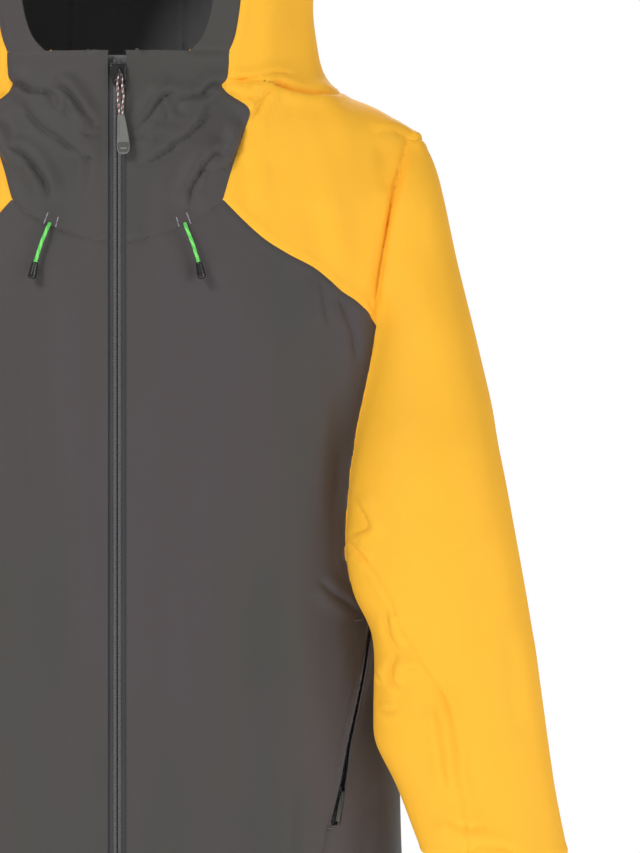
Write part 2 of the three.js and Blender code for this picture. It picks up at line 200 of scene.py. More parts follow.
def moulded_rings(outline, front, back, edge, steps=4):
    """Rings of a plate with rounded edges. The outline is in x and z; front and back are its two y."""
    outline = np.array(outline, float)
    ahead, behind = np.roll(outline, -1, axis=0), np.roll(outline, 1, axis=0)
    tangent = ahead - behind
    normal = np.stack([tangent[:, 1], -tangent[:, 0]], 1)
    normal /= np.linalg.norm(normal, axis=1, keepdims=True)
    if (np.cross(outline, ahead)).sum() < 0:
        normal = -normal
    rings = []
    quarter = np.linspace(0, math.pi / 2, steps)
    for inset, y in ([(edge * (1 - math.sin(t)), front + edge * (1 - math.cos(t))) for t in quarter]
                     + [(edge * (1 - math.cos(t)), back - edge * (1 - math.sin(t))) for t in quarter]):
        flat = outline - normal * inset
        rings.append(np.stack([flat[:, 0], np.full(len(flat), y), flat[:, 1]], 1))
    return rings


def mirror(side, points):
    """The points as given for the wearer's left, or mirrored for the right."""
    return np.asarray(points, float) * np.array([side, 1, 1])


def rounded(points, steps=6):
    """A smooth curve through the points (Catmull-Rom), in any number of dimensions."""
    p = np.array(points, float)
    p = np.concatenate([[2 * p[0] - p[1]], p, [2 * p[-1] - p[-2]]])
    out = []
    for i in range(1, len(p) - 2):
        for t in np.arange(steps) / steps:
            out.append(0.5 * (2 * p[i] + (p[i + 1] - p[i - 1]) * t
                              + (2 * p[i - 1] - 5 * p[i] + 4 * p[i + 1] - p[i + 2]) * t ** 2
                              + (3 * p[i] - p[i - 1] - 3 * p[i + 1] + p[i + 2]) * t ** 3))
    out.append(p[-2])
    return np.array(out)


# ---------------------------------------------------------------- materials
def linear(color):
    """sRGB 0-255 to linear."""
    return tuple(((c / 255 + 0.055) / 1.055) ** 2.4 if c > 10 else c / 255 / 12.92 for c in color)


def surface(name, color, roughness, build=None, **constants):
    """A Principled material; build(nodes, links, shader, colour) adds its own detail."""
    material = bpy.data.materials.new(name)
    material.use_nodes = True
    nodes, links = material.node_tree.nodes, material.node_tree.links
    shader = nodes["Principled BSDF"]
    shader.inputs["Base Color"].default_value = (*linear(color), 1)
    shader.inputs["Roughness"].default_value = roughness
    for key, value in constants.items():
        shader.inputs[key.replace("_", " ")].default_value = value
    if build:
        build(nodes, links, shader, linear(color))
    return material


def node(nodes, kind, **values):
    made = nodes.new(kind)
    for key, value in values.items():
        if hasattr(made, key):
            setattr(made, key, value)
        else:
            made.inputs[key.replace("_", " ")].default_value = value
    return made


def math_node(nodes, links, operation, a, b):
    made = nodes.new("ShaderNodeMath")
    made.operation = operation
    for socket, value in zip(made.inputs, (a, b)):
        if isinstance(value, (int, float)):
            socket.default_value = value
        else:
            links.new(value, socket)
    return made.outputs[0]


def tinted(nodes, links, shader, color, level):
    """Base colour times a level that varies over the surface."""
    mix = node(nodes, "ShaderNodeMix", data_type="RGBA", blend_type="MULTIPLY")
    mix.inputs[0].default_value = 1.0
    mix.inputs[6].default_value = (*color, 1)
    links.new(level, mix.inputs[7])
    links.new(mix.outputs[2], shader.inputs["Base Color"])


def relief(nodes, links, shader, height, strength, distance):
    bump = node(nodes, "ShaderNodeBump", Strength=strength, Distance=distance)
    links.new(height, bump.inputs["Height"])
    links.new(bump.outputs["Normal"], shader.inputs["Normal"])


def weave(pitch, contrast, bump, blotch=0.06, hue=None):
    """Fine plain weave: two sets of threads, cloudy variation, soft bump and a slow drift of hue."""

    def build(nodes, links, shader, color):
        where = node(nodes, "ShaderNodeTexCoord").outputs["Object"]
        threads = []
        for direction in ("X", "Z"):
            wave = node(nodes, "ShaderNodeTexWave", bands_direction=direction, Scale=0.314 / pitch,
                        Distortion=1.2, Detail=1.0, Detail_Scale=2.0)
            links.new(where, wave.inputs["Vector"])
            threads.append(wave.outputs["Fac"])
        weave_height = math_node(nodes, links, "MULTIPLY", threads[0], threads[1])
        grain = node(nodes, "ShaderNodeTexNoise", Scale=900.0, Detail=2.0)
        links.new(where, grain.inputs["Vector"])
        cloud = node(nodes, "ShaderNodeTexNoise", Scale=14.0, Detail=4.0, Roughness=0.6)
        links.new(where, cloud.inputs["Vector"])
        height = math_node(nodes, links, "ADD", weave_height, grain.outputs["Fac"])
        uneven = math_node(nodes, links, "SUBTRACT", height, 0.75)
        tone = math_node(nodes, links, "MULTIPLY", uneven, contrast)
        cloudy = math_node(nodes, links, "SUBTRACT", cloud.outputs["Fac"], 0.5)
        patches = math_node(nodes, links, "MULTIPLY", cloudy, blotch * 2)
        level = math_node(nodes, links, "ADD", math_node(nodes, links, "ADD", tone, patches), 1.0)
        tinted(nodes, links, shader, color, level)
        if hue:
            stretch = node(nodes, "ShaderNodeMapping", Scale=(9.0, 4.0, 2.6))
            links.new(where, stretch.inputs["Vector"])
            drift = node(nodes, "ShaderNodeTexNoise", Scale=1.0, Detail=2.0, Roughness=0.5)
            links.new(stretch.outputs[0], drift.inputs["Vector"])
            ramp = node(nodes, "ShaderNodeValToRGB")
            for element, position, shade in zip(ramp.color_ramp.elements, (0.4, 0.6), hue):
                element.position = position
                element.color = (*linear(shade), 1)
            links.new(drift.outputs["Fac"], ramp.inputs["Fac"])
            links.new(ramp.outputs["Color"], shader.inputs["Base Color"].links[0].from_node.inputs[6])
        relief(nodes, links, shader, height, bump, 0.0004)

    return build


def grained(scale, contrast, bump, bands=None):
    """Moulded or spun surface: fine grain in colour, gloss and relief, with bands for fibres or ribs."""

    def build(nodes, links, shader, color):
        where = node(nodes, "ShaderNodeTexCoord").outputs["Object"]
        grain = node(nodes, "ShaderNodeTexNoise", Scale=float(scale), Detail=3.0, Roughness=0.6)
        links.new(where, grain.inputs["Vector"])
        height = grain.outputs["Fac"]
        if bands:
            direction, pitch = bands
            rib = node(nodes, "ShaderNodeTexWave", bands_direction=direction, Scale=0.314 / pitch,
                       Distortion=0.6)
            links.new(where, rib.inputs["Vector"])
            height = math_node(nodes, links, "ADD", height, rib.outputs["Fac"])
        uneven = math_node(nodes, links, "SUBTRACT", height, 0.5)
        tone = math_node(nodes, links, "MULTIPLY", uneven, contrast)
        tinted(nodes, links, shader, color, math_node(nodes, links, "ADD", tone, 1.0))
        rough = math_node(nodes, links, "MULTIPLY", grain.outputs["Fac"], 0.3)
        base = shader.inputs["Roughness"].default_value
        links.new(math_node(nodes, links, "ADD", rough, base - 0.15), shader.inputs["Roughness"])
        relief(nodes, links, shader, height, bump, 0.0002)

    return build


DARK = surface("dark_fabric", (67, 63, 62), 0.6, weave(0.0009, 0.1, 0.3, 0.05, ((71, 65, 66), (65, 64, 61))),
               Sheen_Weight=0.1, Sheen_Roughness=0.45, Specular_IOR_Level=0.4)
YELLOW = surface("yellow_fabric", (255, 189, 52), 0.62, weave(0.0009, 0.05, 0.28, 0.02), Sheen_Weight=0.02,
                 Sheen_Roughness=0.5, Specular_IOR_Level=0.22)
LINING = surface("lining", (112, 110, 110), 0.85, weave(0.0013, 0.14, 0.3))
TAPE = surface("zip_tape", (60, 59, 62), 0.8, grained(1400, 0.25, 0.6, ("X", 0.0011)), Sheen_Weight=0.1)
COIL = surface("zip_coil", (86, 86, 87), 0.42, grained(2000, 0.3, 0.2), Specular_IOR_Level=0.5)
BLACK = surface("black_plastic", (26, 25, 25), 0.3, grained(600, 0.15, 0.12), Specular_IOR_Level=0.6)
RUBBER = surface("grey_rubber", (110, 111, 106), 0.55, grained(1500, 0.16, 0.3))
RUBBER_LOW = surface("grey_rubber_inset", (76, 77, 72), 0.62, grained(1500, 0.2, 0.35))
BAR = surface("grey_rubber_bar", (124, 124, 119), 0.5, grained(1500, 0.1, 0.2))
GREEN_A = surface("green_cord", (128, 236, 112), 0.6, grained(3000, 0.3, 0.4), Sheen_Weight=0.2)
GREEN_B = surface("green_cord_shade", (84, 212, 84), 0.6, grained(3000, 0.3, 0.4), Sheen_Weight=0.2)
WHITE_YARN = surface("pull_cord_white", (224, 218, 214), 0.65, grained(3000, 0.2, 0.4))
PINK_YARN = surface("pull_cord_rose", (146, 106, 102), 0.65, grained(3000, 0.2, 0.4))
BLACK_YARN = surface("pull_cord_black", (40, 36, 38), 0.65, grained(3000, 0.2, 0.4))
ELASTIC = surface("hem_cord", (32, 32, 33), 0.7, grained(2500, 0.3, 0.5))
DARK_THREAD = surface("bartack_dark", (86, 81, 80), 0.6, grained(3000, 0.3, 0.5, ("X", 0.0006)))
LOOP = surface("cuff_loops", (44, 42, 42), 0.9, grained(2600, 0.6, 1.0), Sheen_Weight=0.3)
BLACK_TAB = surface("cuff_strap", (58, 55, 54), 0.6, grained(700, 0.2, 0.3, ("Z", 0.0022)))
THREAD = surface("bartack_thread", (150, 146, 158), 0.55, grained(3000, 0.3, 0.5, ("Z", 0.0006)))


# ---------------------------------------------------------------- hood drawcords
CORD_ROUTE = [(55.4, -89, 580.2), (55.5, -95, 579.8), (56, -99.6, 578.6), (57.4, -102.2, 575),
              (59.6, -102.8, 569.5), (62, -102.9, 563.5), (64.6, -102.9, 555.5), (67, -102.9, 547.6)]
CORD_RADIUS = 1.45
END_LENGTH = 14.0
END_LEAN = 0.22


def end_radius(at, angle):
    """Tapered end with a rounded rim, a groove under the cord and four flat grips."""
    share = at / END_LENGTH
    body = np.interp(share, [0, 0.06, 0.14, 0.2, 0.75, 0.93, 1], [1.7, 2.6, 2.7, 2.75, 3.45, 3.2, 1.6])
    grip = 0.12 * np.cos(4 * angle) * np.clip(np.sin(share * math.pi), 0, 1)
    return body + grip


for label, side in SIDES:
    route = rounded(mirror(side, CORD_ROUTE), 5)
    green = braided_cord(f"hood_drawcord_{label}", route, CORD_RADIUS, [GREEN_A, GREEN_B], around=16,
                         plait=5.0)
    lean = np.array([side * math.sin(END_LEAN), 0, -math.cos(END_LEAN)])
    start = np.array([side * 67.0, -102.9, 547.8])
    stopper = sweep(f"hood_drawcord_end_{label}",
                    tube_rings([start, start + lean * END_LENGTH], end_radius, 24, 0.5), [BLACK])
    for piece, cad_node, slot_name in ((green, f"hood_cord_{label}", "green_cord"),
                                       (stopper, f"hood_cord_end_{label}", "black_plastic")):
        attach(piece, "shell")
        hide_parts(cad_node)


# ---------------------------------------------------------------- the form
# height, centre x, half width, y of the widest line, front y, back y, roundness
BODY = np.array([
    (-60, 0, 238, 0, -100, 95, 2.3), (0, 0, 238, 0, -100, 95, 2.3), (116, 0, 233, 0, -100, 95, 2.3),
    (180, 0, 227, 0, -100, 94, 2.3), (260, 0, 217, 0, -100, 92, 2.3), (330, 0, 211, 0, -100, 92, 2.3),
    (400, 0, 212, 0, -100, 92, 2.3), (450, 0, 226, 0, -100, 94, 2.2), (500, 0, 240, 0, -100, 98, 2.1),
    (550, 0, 247, 2, -100, 102, 2.0), (600, 0, 253, 5, -100, 104, 1.8), (640, 0, 251, 8, -100, 100, 1.6),
    (652, 0, 249, 8, -100, 97, 1.55), (660, 0, 249, 8, -100, 95, 1.5), (667, 0, 245, 8, -100, 93, 1.5),
    (678, 0, 225, 7, -100, 90, 1.5), (688, 0, 196, 6, -100, 87, 1.6), (700, 0, 175.5, 3, -100, 84, 1.7),
    (712, 0, 168.5, 3, -100, 86, 1.8), (722, 0, 166, 3, -100, 88, 1.9), (760, 0, 161, 3, -103, 106, 2.1),
    (810, 0, 163, 3, -108, 136, 2.2),
    (860, 0, 165, 3, -113, 150, 2.2), (910, 0, 160, 3, -118, 144, 2.2), (955, 0, 144, 3, -122, 122, 2.2),
    (990, 0, 112, 3, -122, 90, 2.1), (1014, 0, 74, 3, -104, 58, 2.0), (1026, 0, 34, 3, -60, 30, 2.0),
    (1031, 0, 4, 3, -20, 8, 2.0),
], float)
SLEEVE = np.array([
    (-30, 338, 53, -78, -116, -40, 2), (14, 326, 56, -78, -116, -40, 2), (60, 311, 60, -76, -116, -36, 2),
    (116, 295.5, 65.5, -74, -116, -32, 2), (153, 283, 72.5, -72, -116, -29, 2),
    (227, 278.6, 66.6, -71, -116, -26, 2), (247, 275, 66, -70, -116, -24, 2),
    (271, 265.5, 71.5, -70, -116, -23, 2),
    (308, 259.6, 71.6, -68, -114, -22, 2), (370, 256.5, 63.5, -60, -109, -12, 2),
    (400, 256, 58, -52, -104, 0, 2), (431, 256, 54, -34, -92, 26, 2), (464, 254.3, 49.3, -18, -82, 44, 2),
    (500, 251.7, 44.7, -8, -74, 58, 2), (558, 244, 38, 0, -52, 52, 2), (600, 242, 31, 0, -42, 42, 2),
    (622, 244, 24, 1, -32, 32, 2),
    (640, 246, 16, 2, -20, 20, 2), (652, 247, 8, 3, -10, 12, 2), (661, 247, 2, 4, -3, 5, 2),
], float)
VOXEL = 3.0
JOIN_RADIUS = 9.0


def smooth_columns(table, spread):
    """The section table on a 1 mm ladder of heights, rounded by a Gaussian of this spread."""
    heights = np.arange(table[0, 0], table[-1, 0] + 1)
    reach = int(3 * spread)
    kernel = np.exp(-0.5 * (np.arange(-reach, reach + 1) / spread) ** 2)
    kernel /= kernel.sum()
    columns = []
    for column in table[:, 1:].T:
        values = np.interp(heights, table[:, 0], column)
        columns.append(np.convolve(np.pad(values, reach, mode="edge"), kernel, mode="valid"))
    return heights, np.array(columns)


def section_value(table, spread):
    """A function of x, y, z: below 0 inside the lofted form, and about a distance in mm near it."""
    heights, columns = smooth_columns(table, spread)

    def value(x, y, z):
        centre, half, side, front, back, power = (np.interp(z, heights, column) for column in columns)
        u = np.abs(x - centre) / half
        v = np.abs(y - side) / np.where(y < side, side - front, back - side)
        return ((u ** power + v ** power) ** (1 / power) - 1) * half * 0.6

    return value


body_value = section_value(BODY, 7.0)
sleeve_value = section_value(SLEEVE, 8.0)


def distance_grid(value, x, y, z, top):
    grid = value(x[:, None, None], y[None, :, None], z[None, None, :])
    slope = np.sqrt(sum(g * g for g in np.gradient(grid, VOXEL)))
    grid = grid / np.maximum(slope, 0.05)
    return np.maximum(np.clip(grid, -30, 30), (z - top)[None, None, :])


def smooth_union(a, b, radius):
    blend = np.clip(0.5 + 0.5 * (b - a) / radius, 0, 1)
    return b * (1 - blend) + a * blend - radius * blend * (1 - blend)


def form_mesh():
    """Vertices in mm and triangles of the whole outside, cloth thickness not yet added."""
    x = np.arange(0.5 * VOXEL, 405, VOXEL)
    y = np.arange(-132, 168, VOXEL)
    z = np.arange(-24, 1042, VOXEL)
    body = distance_grid(body_value, x, y, z, BODY[-1, 0])
    sleeve = distance_grid(sleeve_value, x, y, z, SLEEVE[-1, 0])
    half = smooth_union(body, sleeve, JOIN_RADIUS)
    whole = np.concatenate([half[::-1], half]).astype(np.float32)
    grid = openvdb.FloatGrid(30.0)
    grid.copyFromArray(whole)
    points, quads = grid.convertToQuads(0.0)
    points = points * VOXEL + np.array([-x[-1], y[0], z[0]])
    triangles = np.concatenate([quads[:, [0, 1, 2]], quads[:, [0, 2, 3]]])
    return points.astype(float), triangles.astype(np.int64)


def vertex_normals(points, triangles):
    a, b, c = (points[triangles[:, i]] for i in range(3))
    faces = np.cross(b - a, c - a)
    normals = np.zeros_like(points)
    for i in range(3):
        np.add.at(normals, triangles[:, i], faces)
    return normals / np.maximum(np.linalg.norm(normals, axis=1, keepdims=True), 1e-12)


def directed_edges(triangles):
    """Every side of every triangle, in the order in which the triangle goes round."""
    return np.concatenate([triangles[:, [0, 1]], triangles[:, [1, 2]], triangles[:, [2, 0]]])


def relax(points, triangles, rounds):
    """Evens the mesh out: each vertex moves half way to the mean of its neighbours."""
    edges = directed_edges(triangles)
    count = np.bincount(edges[:, 0], minlength=len(points))[:, None]
    for _ in range(rounds):
        total = np.zeros_like(points)
        np.add.at(total, edges[:, 0], points[edges[:, 1]])
        points = 0.5 * points + 0.5 * total / np.maximum(count, 1)
    return points


def split(points, triangles, value, allowed=None):
    """Cuts every triangle that value = 0 crosses, so that no triangle lies on both sides.

    Where allowed is given, only edges between two allowed points are cut.
    """
    sign = value > 0
    inside = sign[triangles]
    mixed = inside.any(1) & ~inside.all(1)
    cut = triangles[mixed]
    signs = inside[mixed]
    lone = np.where(signs.sum(1) == 1, signs.argmax(1), (~signs).argmax(1))
    order = (lone[:, None] + np.arange(3)) % 3
    a, b, c = np.take_along_axis(cut, order, 1).T
    ends = np.sort(np.concatenate([np.stack([a, b], 1), np.stack([a, c], 1)]), axis=1)
    unique, index = np.unique(ends, axis=0, return_inverse=True)
    index = index.reshape(-1)
    v0, v1 = value[unique[:, 0]], value[unique[:, 1]]
    margin = 0.02 if allowed is None else 0.15
    part = np.clip(v0 / (v0 - v1), margin, 1 - margin)[:, None]
    added = points[unique[:, 0]] * (1 - part) + points[unique[:, 1]] * part
    base = len(points)
    ab, ac = base + index[:len(a)], base + index[len(a):]
    first = np.ones(len(a), bool) if allowed is None else allowed[a] & allowed[b]
    second = np.ones(len(a), bool) if allowed is None else allowed[a] & allowed[c]
    both, one, other, none = first & second, first & ~second, second & ~first, ~first & ~second
    pieces = [np.stack(t, 1)[m] for t, m in (
        ((a, ab, ac), both), ((ab, b, c), both), ((ab, c, ac), both), ((a, ab, c), one), ((ab, b, c), one),
        ((a, b, ac), other), ((ac, b, c), other), ((a, b, c), none))]
    return np.concatenate([points, added]), np.concatenate([triangles[~mixed], *pieces])


# ---------------------------------------------------------------- seams
def outline_distance(outline, x, z):
    """Distance in the front view to a closed outline, below 0 inside it."""
    corners = np.array(outline, float)
    best = np.full(len(x), 1e9)
    inside = np.zeros(len(x), bool)
    for (x0, z0), (x1, z1) in zip(corners, np.roll(corners, -1, axis=0)):
        dx, dz = x1 - x0, z1 - z0
        if not dx and not dz:
            continue
        t = np.clip(((x - x0) * dx + (z - z0) * dz) / (dx * dx + dz * dz), 0, 1)
        best = np.minimum(best, np.hypot(x - x0 - t * dx, z - z0 - t * dz))
        crosses = (z0 > z) != (z1 > z)
        if dz:
            inside ^= crosses & (x < dx * (z - z0) / dz + x0)
    return np.where(inside, -best, best)


ZIP_OPENING = 7.6
COLLAR_TOP = 722.0
NECK_SEAM = 700.0
CHEST_SEAM = rounded([(0, 564.5), (20, 567), (44, 573.5), (63, 582), (76, 590), (87, 600)])
RAGLAN_SEAM = rounded([(87, 600), (108, 579), (124, 565.5), (142, 555), (165, 543), (181, 528), (199, 514.5),
                       (212, 499), (228, 470)])
COLLAR_EDGE = rounded([(87, 600), (94, 624), (101, 646), (106.5, 664), (107.5, 672), (103, 679), (96, 685),
                       (88, 691), (86, 695), (90, 700), (92, 712), (92, 724)])
POCKET_SEAM = rounded([(214, 290), (211, 270), (207, 246), (199, 205), (190.5, 163), (181.5, 116), (174, 82),
                       (166, 40), (158, 0), (150, -30)])
UNDER_SEAM = rounded([(176, 345), (186, 325), (195, 312), (206.6, 298.6), (221.6, 273.5), (235, 245),
                      (243.5, 230), (260, 205), (268.6, 189.7), (275.3, 168), (282, 116), (288, 60),
                      (292, 0), (294, -40)])
POCKET_OPENING = rounded([(207.6, 246), (199.9, 205), (191.3, 163), (182.3, 116), (175, 83)])
FACE = rounded([(60, 722), (72, 738), (80, 770), (86, 830), (82, 900), (66, 950), (36, 976), (0, 984)])
SURROUND = rounded([(92, 722), (98, 740), (103, 780), (107, 835), (103, 905), (86, 962), (46, 994),
                    (0, 1003)])


def neck_line(x, y):
    """Height of the seam under the hood: level behind, and lower over the shoulders in front."""
    drop = np.interp(np.abs(x), [110, 131, 145, 159, 173, 184], [0, 3, 7, 9, 9, 8])
    t = np.clip((30 - y) / 55, 0, 1)
    return NECK_SEAM - drop * t * t * (3 - 2 * t)


def both_sides(half):
    """An outline of the whole front view from its half on the wearer's left."""
    mirrored = half[::-1] * np.array([-1.0, 1.0])
    return np.concatenate([half, mirrored])


def facing_view(outline, x, z):
    """Distance from an outline drawn on the wearer's left, for both sides of the front view."""
    return outline_distance(outline, np.abs(x), z)


SLEEVE_TOP = 655.0


def on_sleeve(x, y, z):
    """Below 0 where the sleeve stands proud of the body, 0 on the crease between the two."""
    return np.where(z > SLEEVE_TOP, 30.0, sleeve_value(np.abs(x), y, z) - body_value(x, y, z))


UNDER = np.concatenate([UNDER_SEAM, [(120, -40), (120, 345)]])
COLLAR = np.concatenate([CHEST_SEAM, COLLAR_EDGE[1:], [(-40, 724), (-40, 564.5)]])
FRONT = np.concatenate([[(-40, 566)], CHEST_SEAM[1:], RAGLAN_SEAM[1:], [(260, 380), (260, 290)],
                        POCKET_SEAM, [(-40, -30)]])
YOKE = np.concatenate([[(-40, 740), (-40, 540), (146, 540)], RAGLAN_SEAM[RAGLAN_SEAM[:, 0] > 147],
                       [(300, 430), (300, 740)]])
SLIT_WIDTH = np.interp(POCKET_OPENING[:, 1], [90, 118, 150], [8.0, 6.0, 2.6])
SLIT_BACK = POCKET_OPENING + np.stack([SLIT_WIDTH, 0 * SLIT_WIDTH], 1)
POCKET_SLIT = np.concatenate([POCKET_OPENING, SLIT_BACK[::-1]])
CUFF_TOP = 60.0
BACK_HALF, BACK_TOP = 150.0, 560.0
BACK_YOKE_HALF = 70.0
HOOD_CENTRE_HALF = 48.0
# (label, field) in the order in which the cloth is shared out; a piece lies where its field is below 0
REGIONS = [
    ("gone", lambda x, y, z: z),
    ("gone", lambda x, y, z: np.maximum(np.maximum(facing_view(POCKET_SLIT, x, z), y), -on_sleeve(x, y, z))),
    ("gone", lambda x, y, z: np.maximum(z - 14, 262 - np.abs(x))),
    ("gone", lambda x, y, z: np.maximum(np.maximum(np.abs(x) - ZIP_OPENING, y), z - COLLAR_TOP)),
    ("gone", lambda x, y, z: np.maximum(outline_distance(both_sides(FACE), x, z), y)),
    ("hood_brim", lambda x, y, z: np.maximum(
        np.maximum(outline_distance(both_sides(SURROUND), x, z), y + 20), COLLAR_TOP - z)),
    ("cuff", lambda x, y, z: np.maximum(on_sleeve(x, y, z), z - CUFF_TOP)),
    ("sleeve_under", lambda x, y, z: np.maximum(on_sleeve(x, y, z), facing_view(UNDER, x, z))),
    ("sleeve_upper", on_sleeve),
    ("collar_panel", lambda x, y, z: np.maximum(np.maximum(facing_view(COLLAR, x, z), y), z - COLLAR_TOP)),
    ("front_panel", lambda x, y, z: np.maximum(facing_view(FRONT, x, z), y)),
    ("back_panel", lambda x, y, z: np.maximum(
        np.maximum(np.abs(x) - BACK_HALF, z - BACK_TOP + (x / 49) ** 2), -y)),
    ("back_yoke", lambda x, y, z: np.maximum(np.maximum(np.abs(x) - BACK_YOKE_HALF, z - NECK_SEAM), -y)),
    ("shoulder_yoke", lambda x, y, z: np.maximum(facing_view(YOKE, x, z), z - neck_line(x, y))),
    ("hood_centre", lambda x, y, z: np.maximum(np.abs(x) - HOOD_CENTRE_HALF, NECK_SEAM - z)),
    ("hood_side", lambda x, y, z: neck_line(x, y) - z),
    ("side_panel", lambda x, y, z: np.full(len(x), -1.0)),
]


def share_out(points, triangles):
    """Cuts the cloth along every seam; gives points and the triangles of each label."""
    labelled = {}
    for name, field in REGIONS:
        value = np.full(len(points), 50.0)
        used = np.unique(triangles)
        value[used] = field(*points[used].T)
        points, triangles = split(points, triangles, value)
        inside = field(*points[triangles].mean(axis=1).T) < 0
        labelled.setdefault(name, []).append(triangles[inside])
        triangles = triangles[~inside]
    labelled.pop("gone")
    return points, {name: np.concatenate(parts) for name, parts in labelled.items()}


# ---------------------------------------------------------------- folds
FOLD_GAIN = 1.8                    # all folds stand this many times their listed height
GROOVE_SHARE = 0.22                # depth of the crease at the bottom of a fold, of its height
GROOVE_WIDTH = 1.7
LIFT_LOW, LIFT_HIGH = -5.0, 5.5
HEM_STITCH = 24.0                  # height of the line of stitches round the hem


def fold_line(path):
    """A fold's path as a smooth curve."""
    return rounded(path, 4) if len(path) > 2 else np.array(path, float)


def path_distance(path, x, z):
    """Distance to an open path in the front view, the side it is on, and how far along it, 0 to 1."""
    path = np.array(path, float)
    lengths = np.hypot(*np.diff(path, axis=0).T)
    starts = np.concatenate([[0], np.cumsum(lengths)])
    best = np.full(len(x), 1e9)
    beside = np.zeros(len(x))
    along = np.zeros(len(x))
    for i, ((x0, z0), (x1, z1)) in enumerate(zip(path, path[1:])):
        dx, dz = x1 - x0, z1 - z0
        t = np.clip(((x - x0) * dx + (z - z0) * dz) / (dx * dx + dz * dz), 0, 1)
        d = np.hypot(x - x0 - t * dx, z - z0 - t * dz)
        offset = (dx * (z - z0) - dz * (x - x0)) / lengths[i]
        # at a corner both segments are as near, and the one that is more squarely beside the point decides
        closer = (d < best - 1e-7) | ((d < best + 1e-7) & (np.abs(offset) > np.abs(beside)))
        best[closer] = d[closer]
        beside[closer] = offset[closer]
        along[closer] = ((starts[i] + t * lengths[i]) / starts[-1])[closer]
    side = np.where(beside < 0, -1.0, 1.0)
    return best, side, along


def near(path, x, z, reach):
    """Which points lie within reach of the path's box."""
    path = np.array(path, float)
    low, high = path.min(axis=0) - reach, path.max(axis=0) + reach
    return (x > low[0]) & (x < high[0]) & (z > low[1]) & (z < high[1])


def fold(x, z, path, left, right, width):
    """Height of a fold along a path: cloth puffs up by left and right on its two sides, and dips between.

    Left and right are as seen when walking along the path. Where they are equal and below 0 the fold is
    a soft valley.
    """
    total = np.zeros(len(x))
    close = near(path, x, z, 3.2 * width)
    if not close.any():
        return total
    d, side, along = path_distance(fold_line(path), x[close], z[close])
    taper = np.clip(np.minimum(along, 1 - along) * 4, 0, 1)
    taper = taper * taper * (3 - 2 * taper)
    t = d / width
    height = FOLD_GAIN * np.where(side > 0, left, right)
    if max(left, right) > 0:
        shape = t * np.exp(0.5 * (1 - t * t))
        groove = GROOVE_SHARE * FOLD_GAIN * max(left, right) * np.exp(-(d / GROOVE_WIDTH) ** 2)
        total[close] = taper * (height * shape - groove)
    else:
        total[close] = taper * height * np.exp(-t * t)
    return total


def cut_folds(points, triangles):
    """Gives every crisp fold a line of mesh edges along its bottom."""
    for folds, front in ((COLLAR_FOLDS + YOKE_FOLDS + SLEEVE_FOLDS + FRONT_FOLDS, True), (BACK_FOLDS, False)):
        for path, left, right, width in folds:
            if max(left, right) <= 0:
                continue
            line = fold_line(path)
            across, up = fold_place(points)
            close = near(line, across, up, 8.0) & ((points[:, 1] < 0) == front)
            value = np.full(len(points), 50.0)
            reach = np.zeros(len(points), bool)
            d, side, along = path_distance(line, across[close], up[close])
            value[close] = side * np.maximum(d, 1e-6)
            reach[close] = (d < 5.5) & (along > 0.001) & (along < 0.999)
            points, triangles = split(points, triangles, value, reach)
    return points, triangles


def fold_place(points):
    """The front-view place by which folds are laid: the right has the left's folds, a little shifted."""
    x, z = points[:, 0], points[:, 2]
    return np.where(x > 0, x, -x + 3.0 * np.sin(z / 41)), np.where(x > 0, z, z + 5.0 * np.sin(x / 29))


# (path in the front view, puff on the left of it, puff on the right of it, width)
COLLAR_FOLDS = [
    ([(54, 689), (40, 686), (35, 681), (28.7, 672), (20, 661), (13, 655)], 1.8, 3.1, 5.5),
    ([(45.7, 678.5), (54, 683), (62, 685), (70, 686.6), (75, 692), (82, 696.5), (92, 697)], 1.6, 3.1, 5.0),
    ([(79, 681), (74, 672), (69, 664.4), (61.7, 656), (54, 649.4), (48.4, 647), (43, 641), (33.5, 634.4),
      (24, 629.8), (14, 627)], 0.8, 4.2, 7.0),
    ([(54, 681.5), (62, 680), (73, 677)], 1.0, 2.3, 3.6),
    ([(38.5, 680), (39.3, 673), (40.2, 665)], 1.3, 0.8, 3.2),
    ([(60, 668.5), (51.3, 661.7), (43, 655), (32.5, 650.3), (29, 642)], 1.7, 2.2, 4.2),
    ([(11, 650.5), (18, 649), (27, 648)], 1.0, 1.2, 3.2),
    ([(108, 667), (103, 657), (99.5, 642), (93, 630.6), (86, 624.9), (70, 622)], -0.5, 4.4, 6.0),
    ([(94, 645), (79.5, 636), (71, 626), (65.4, 616.4), (61, 608), (59.8, 597.6), (58.6, 588)],
     2.6, 3.4, 6.5),
    ([(55, 630), (48, 604), (47, 580), (49, 556)], -1.0, -1.0, 9.0),
    ([(30, 612), (27, 580), (29, 545)], -0.8, -0.8, 11.0),
]
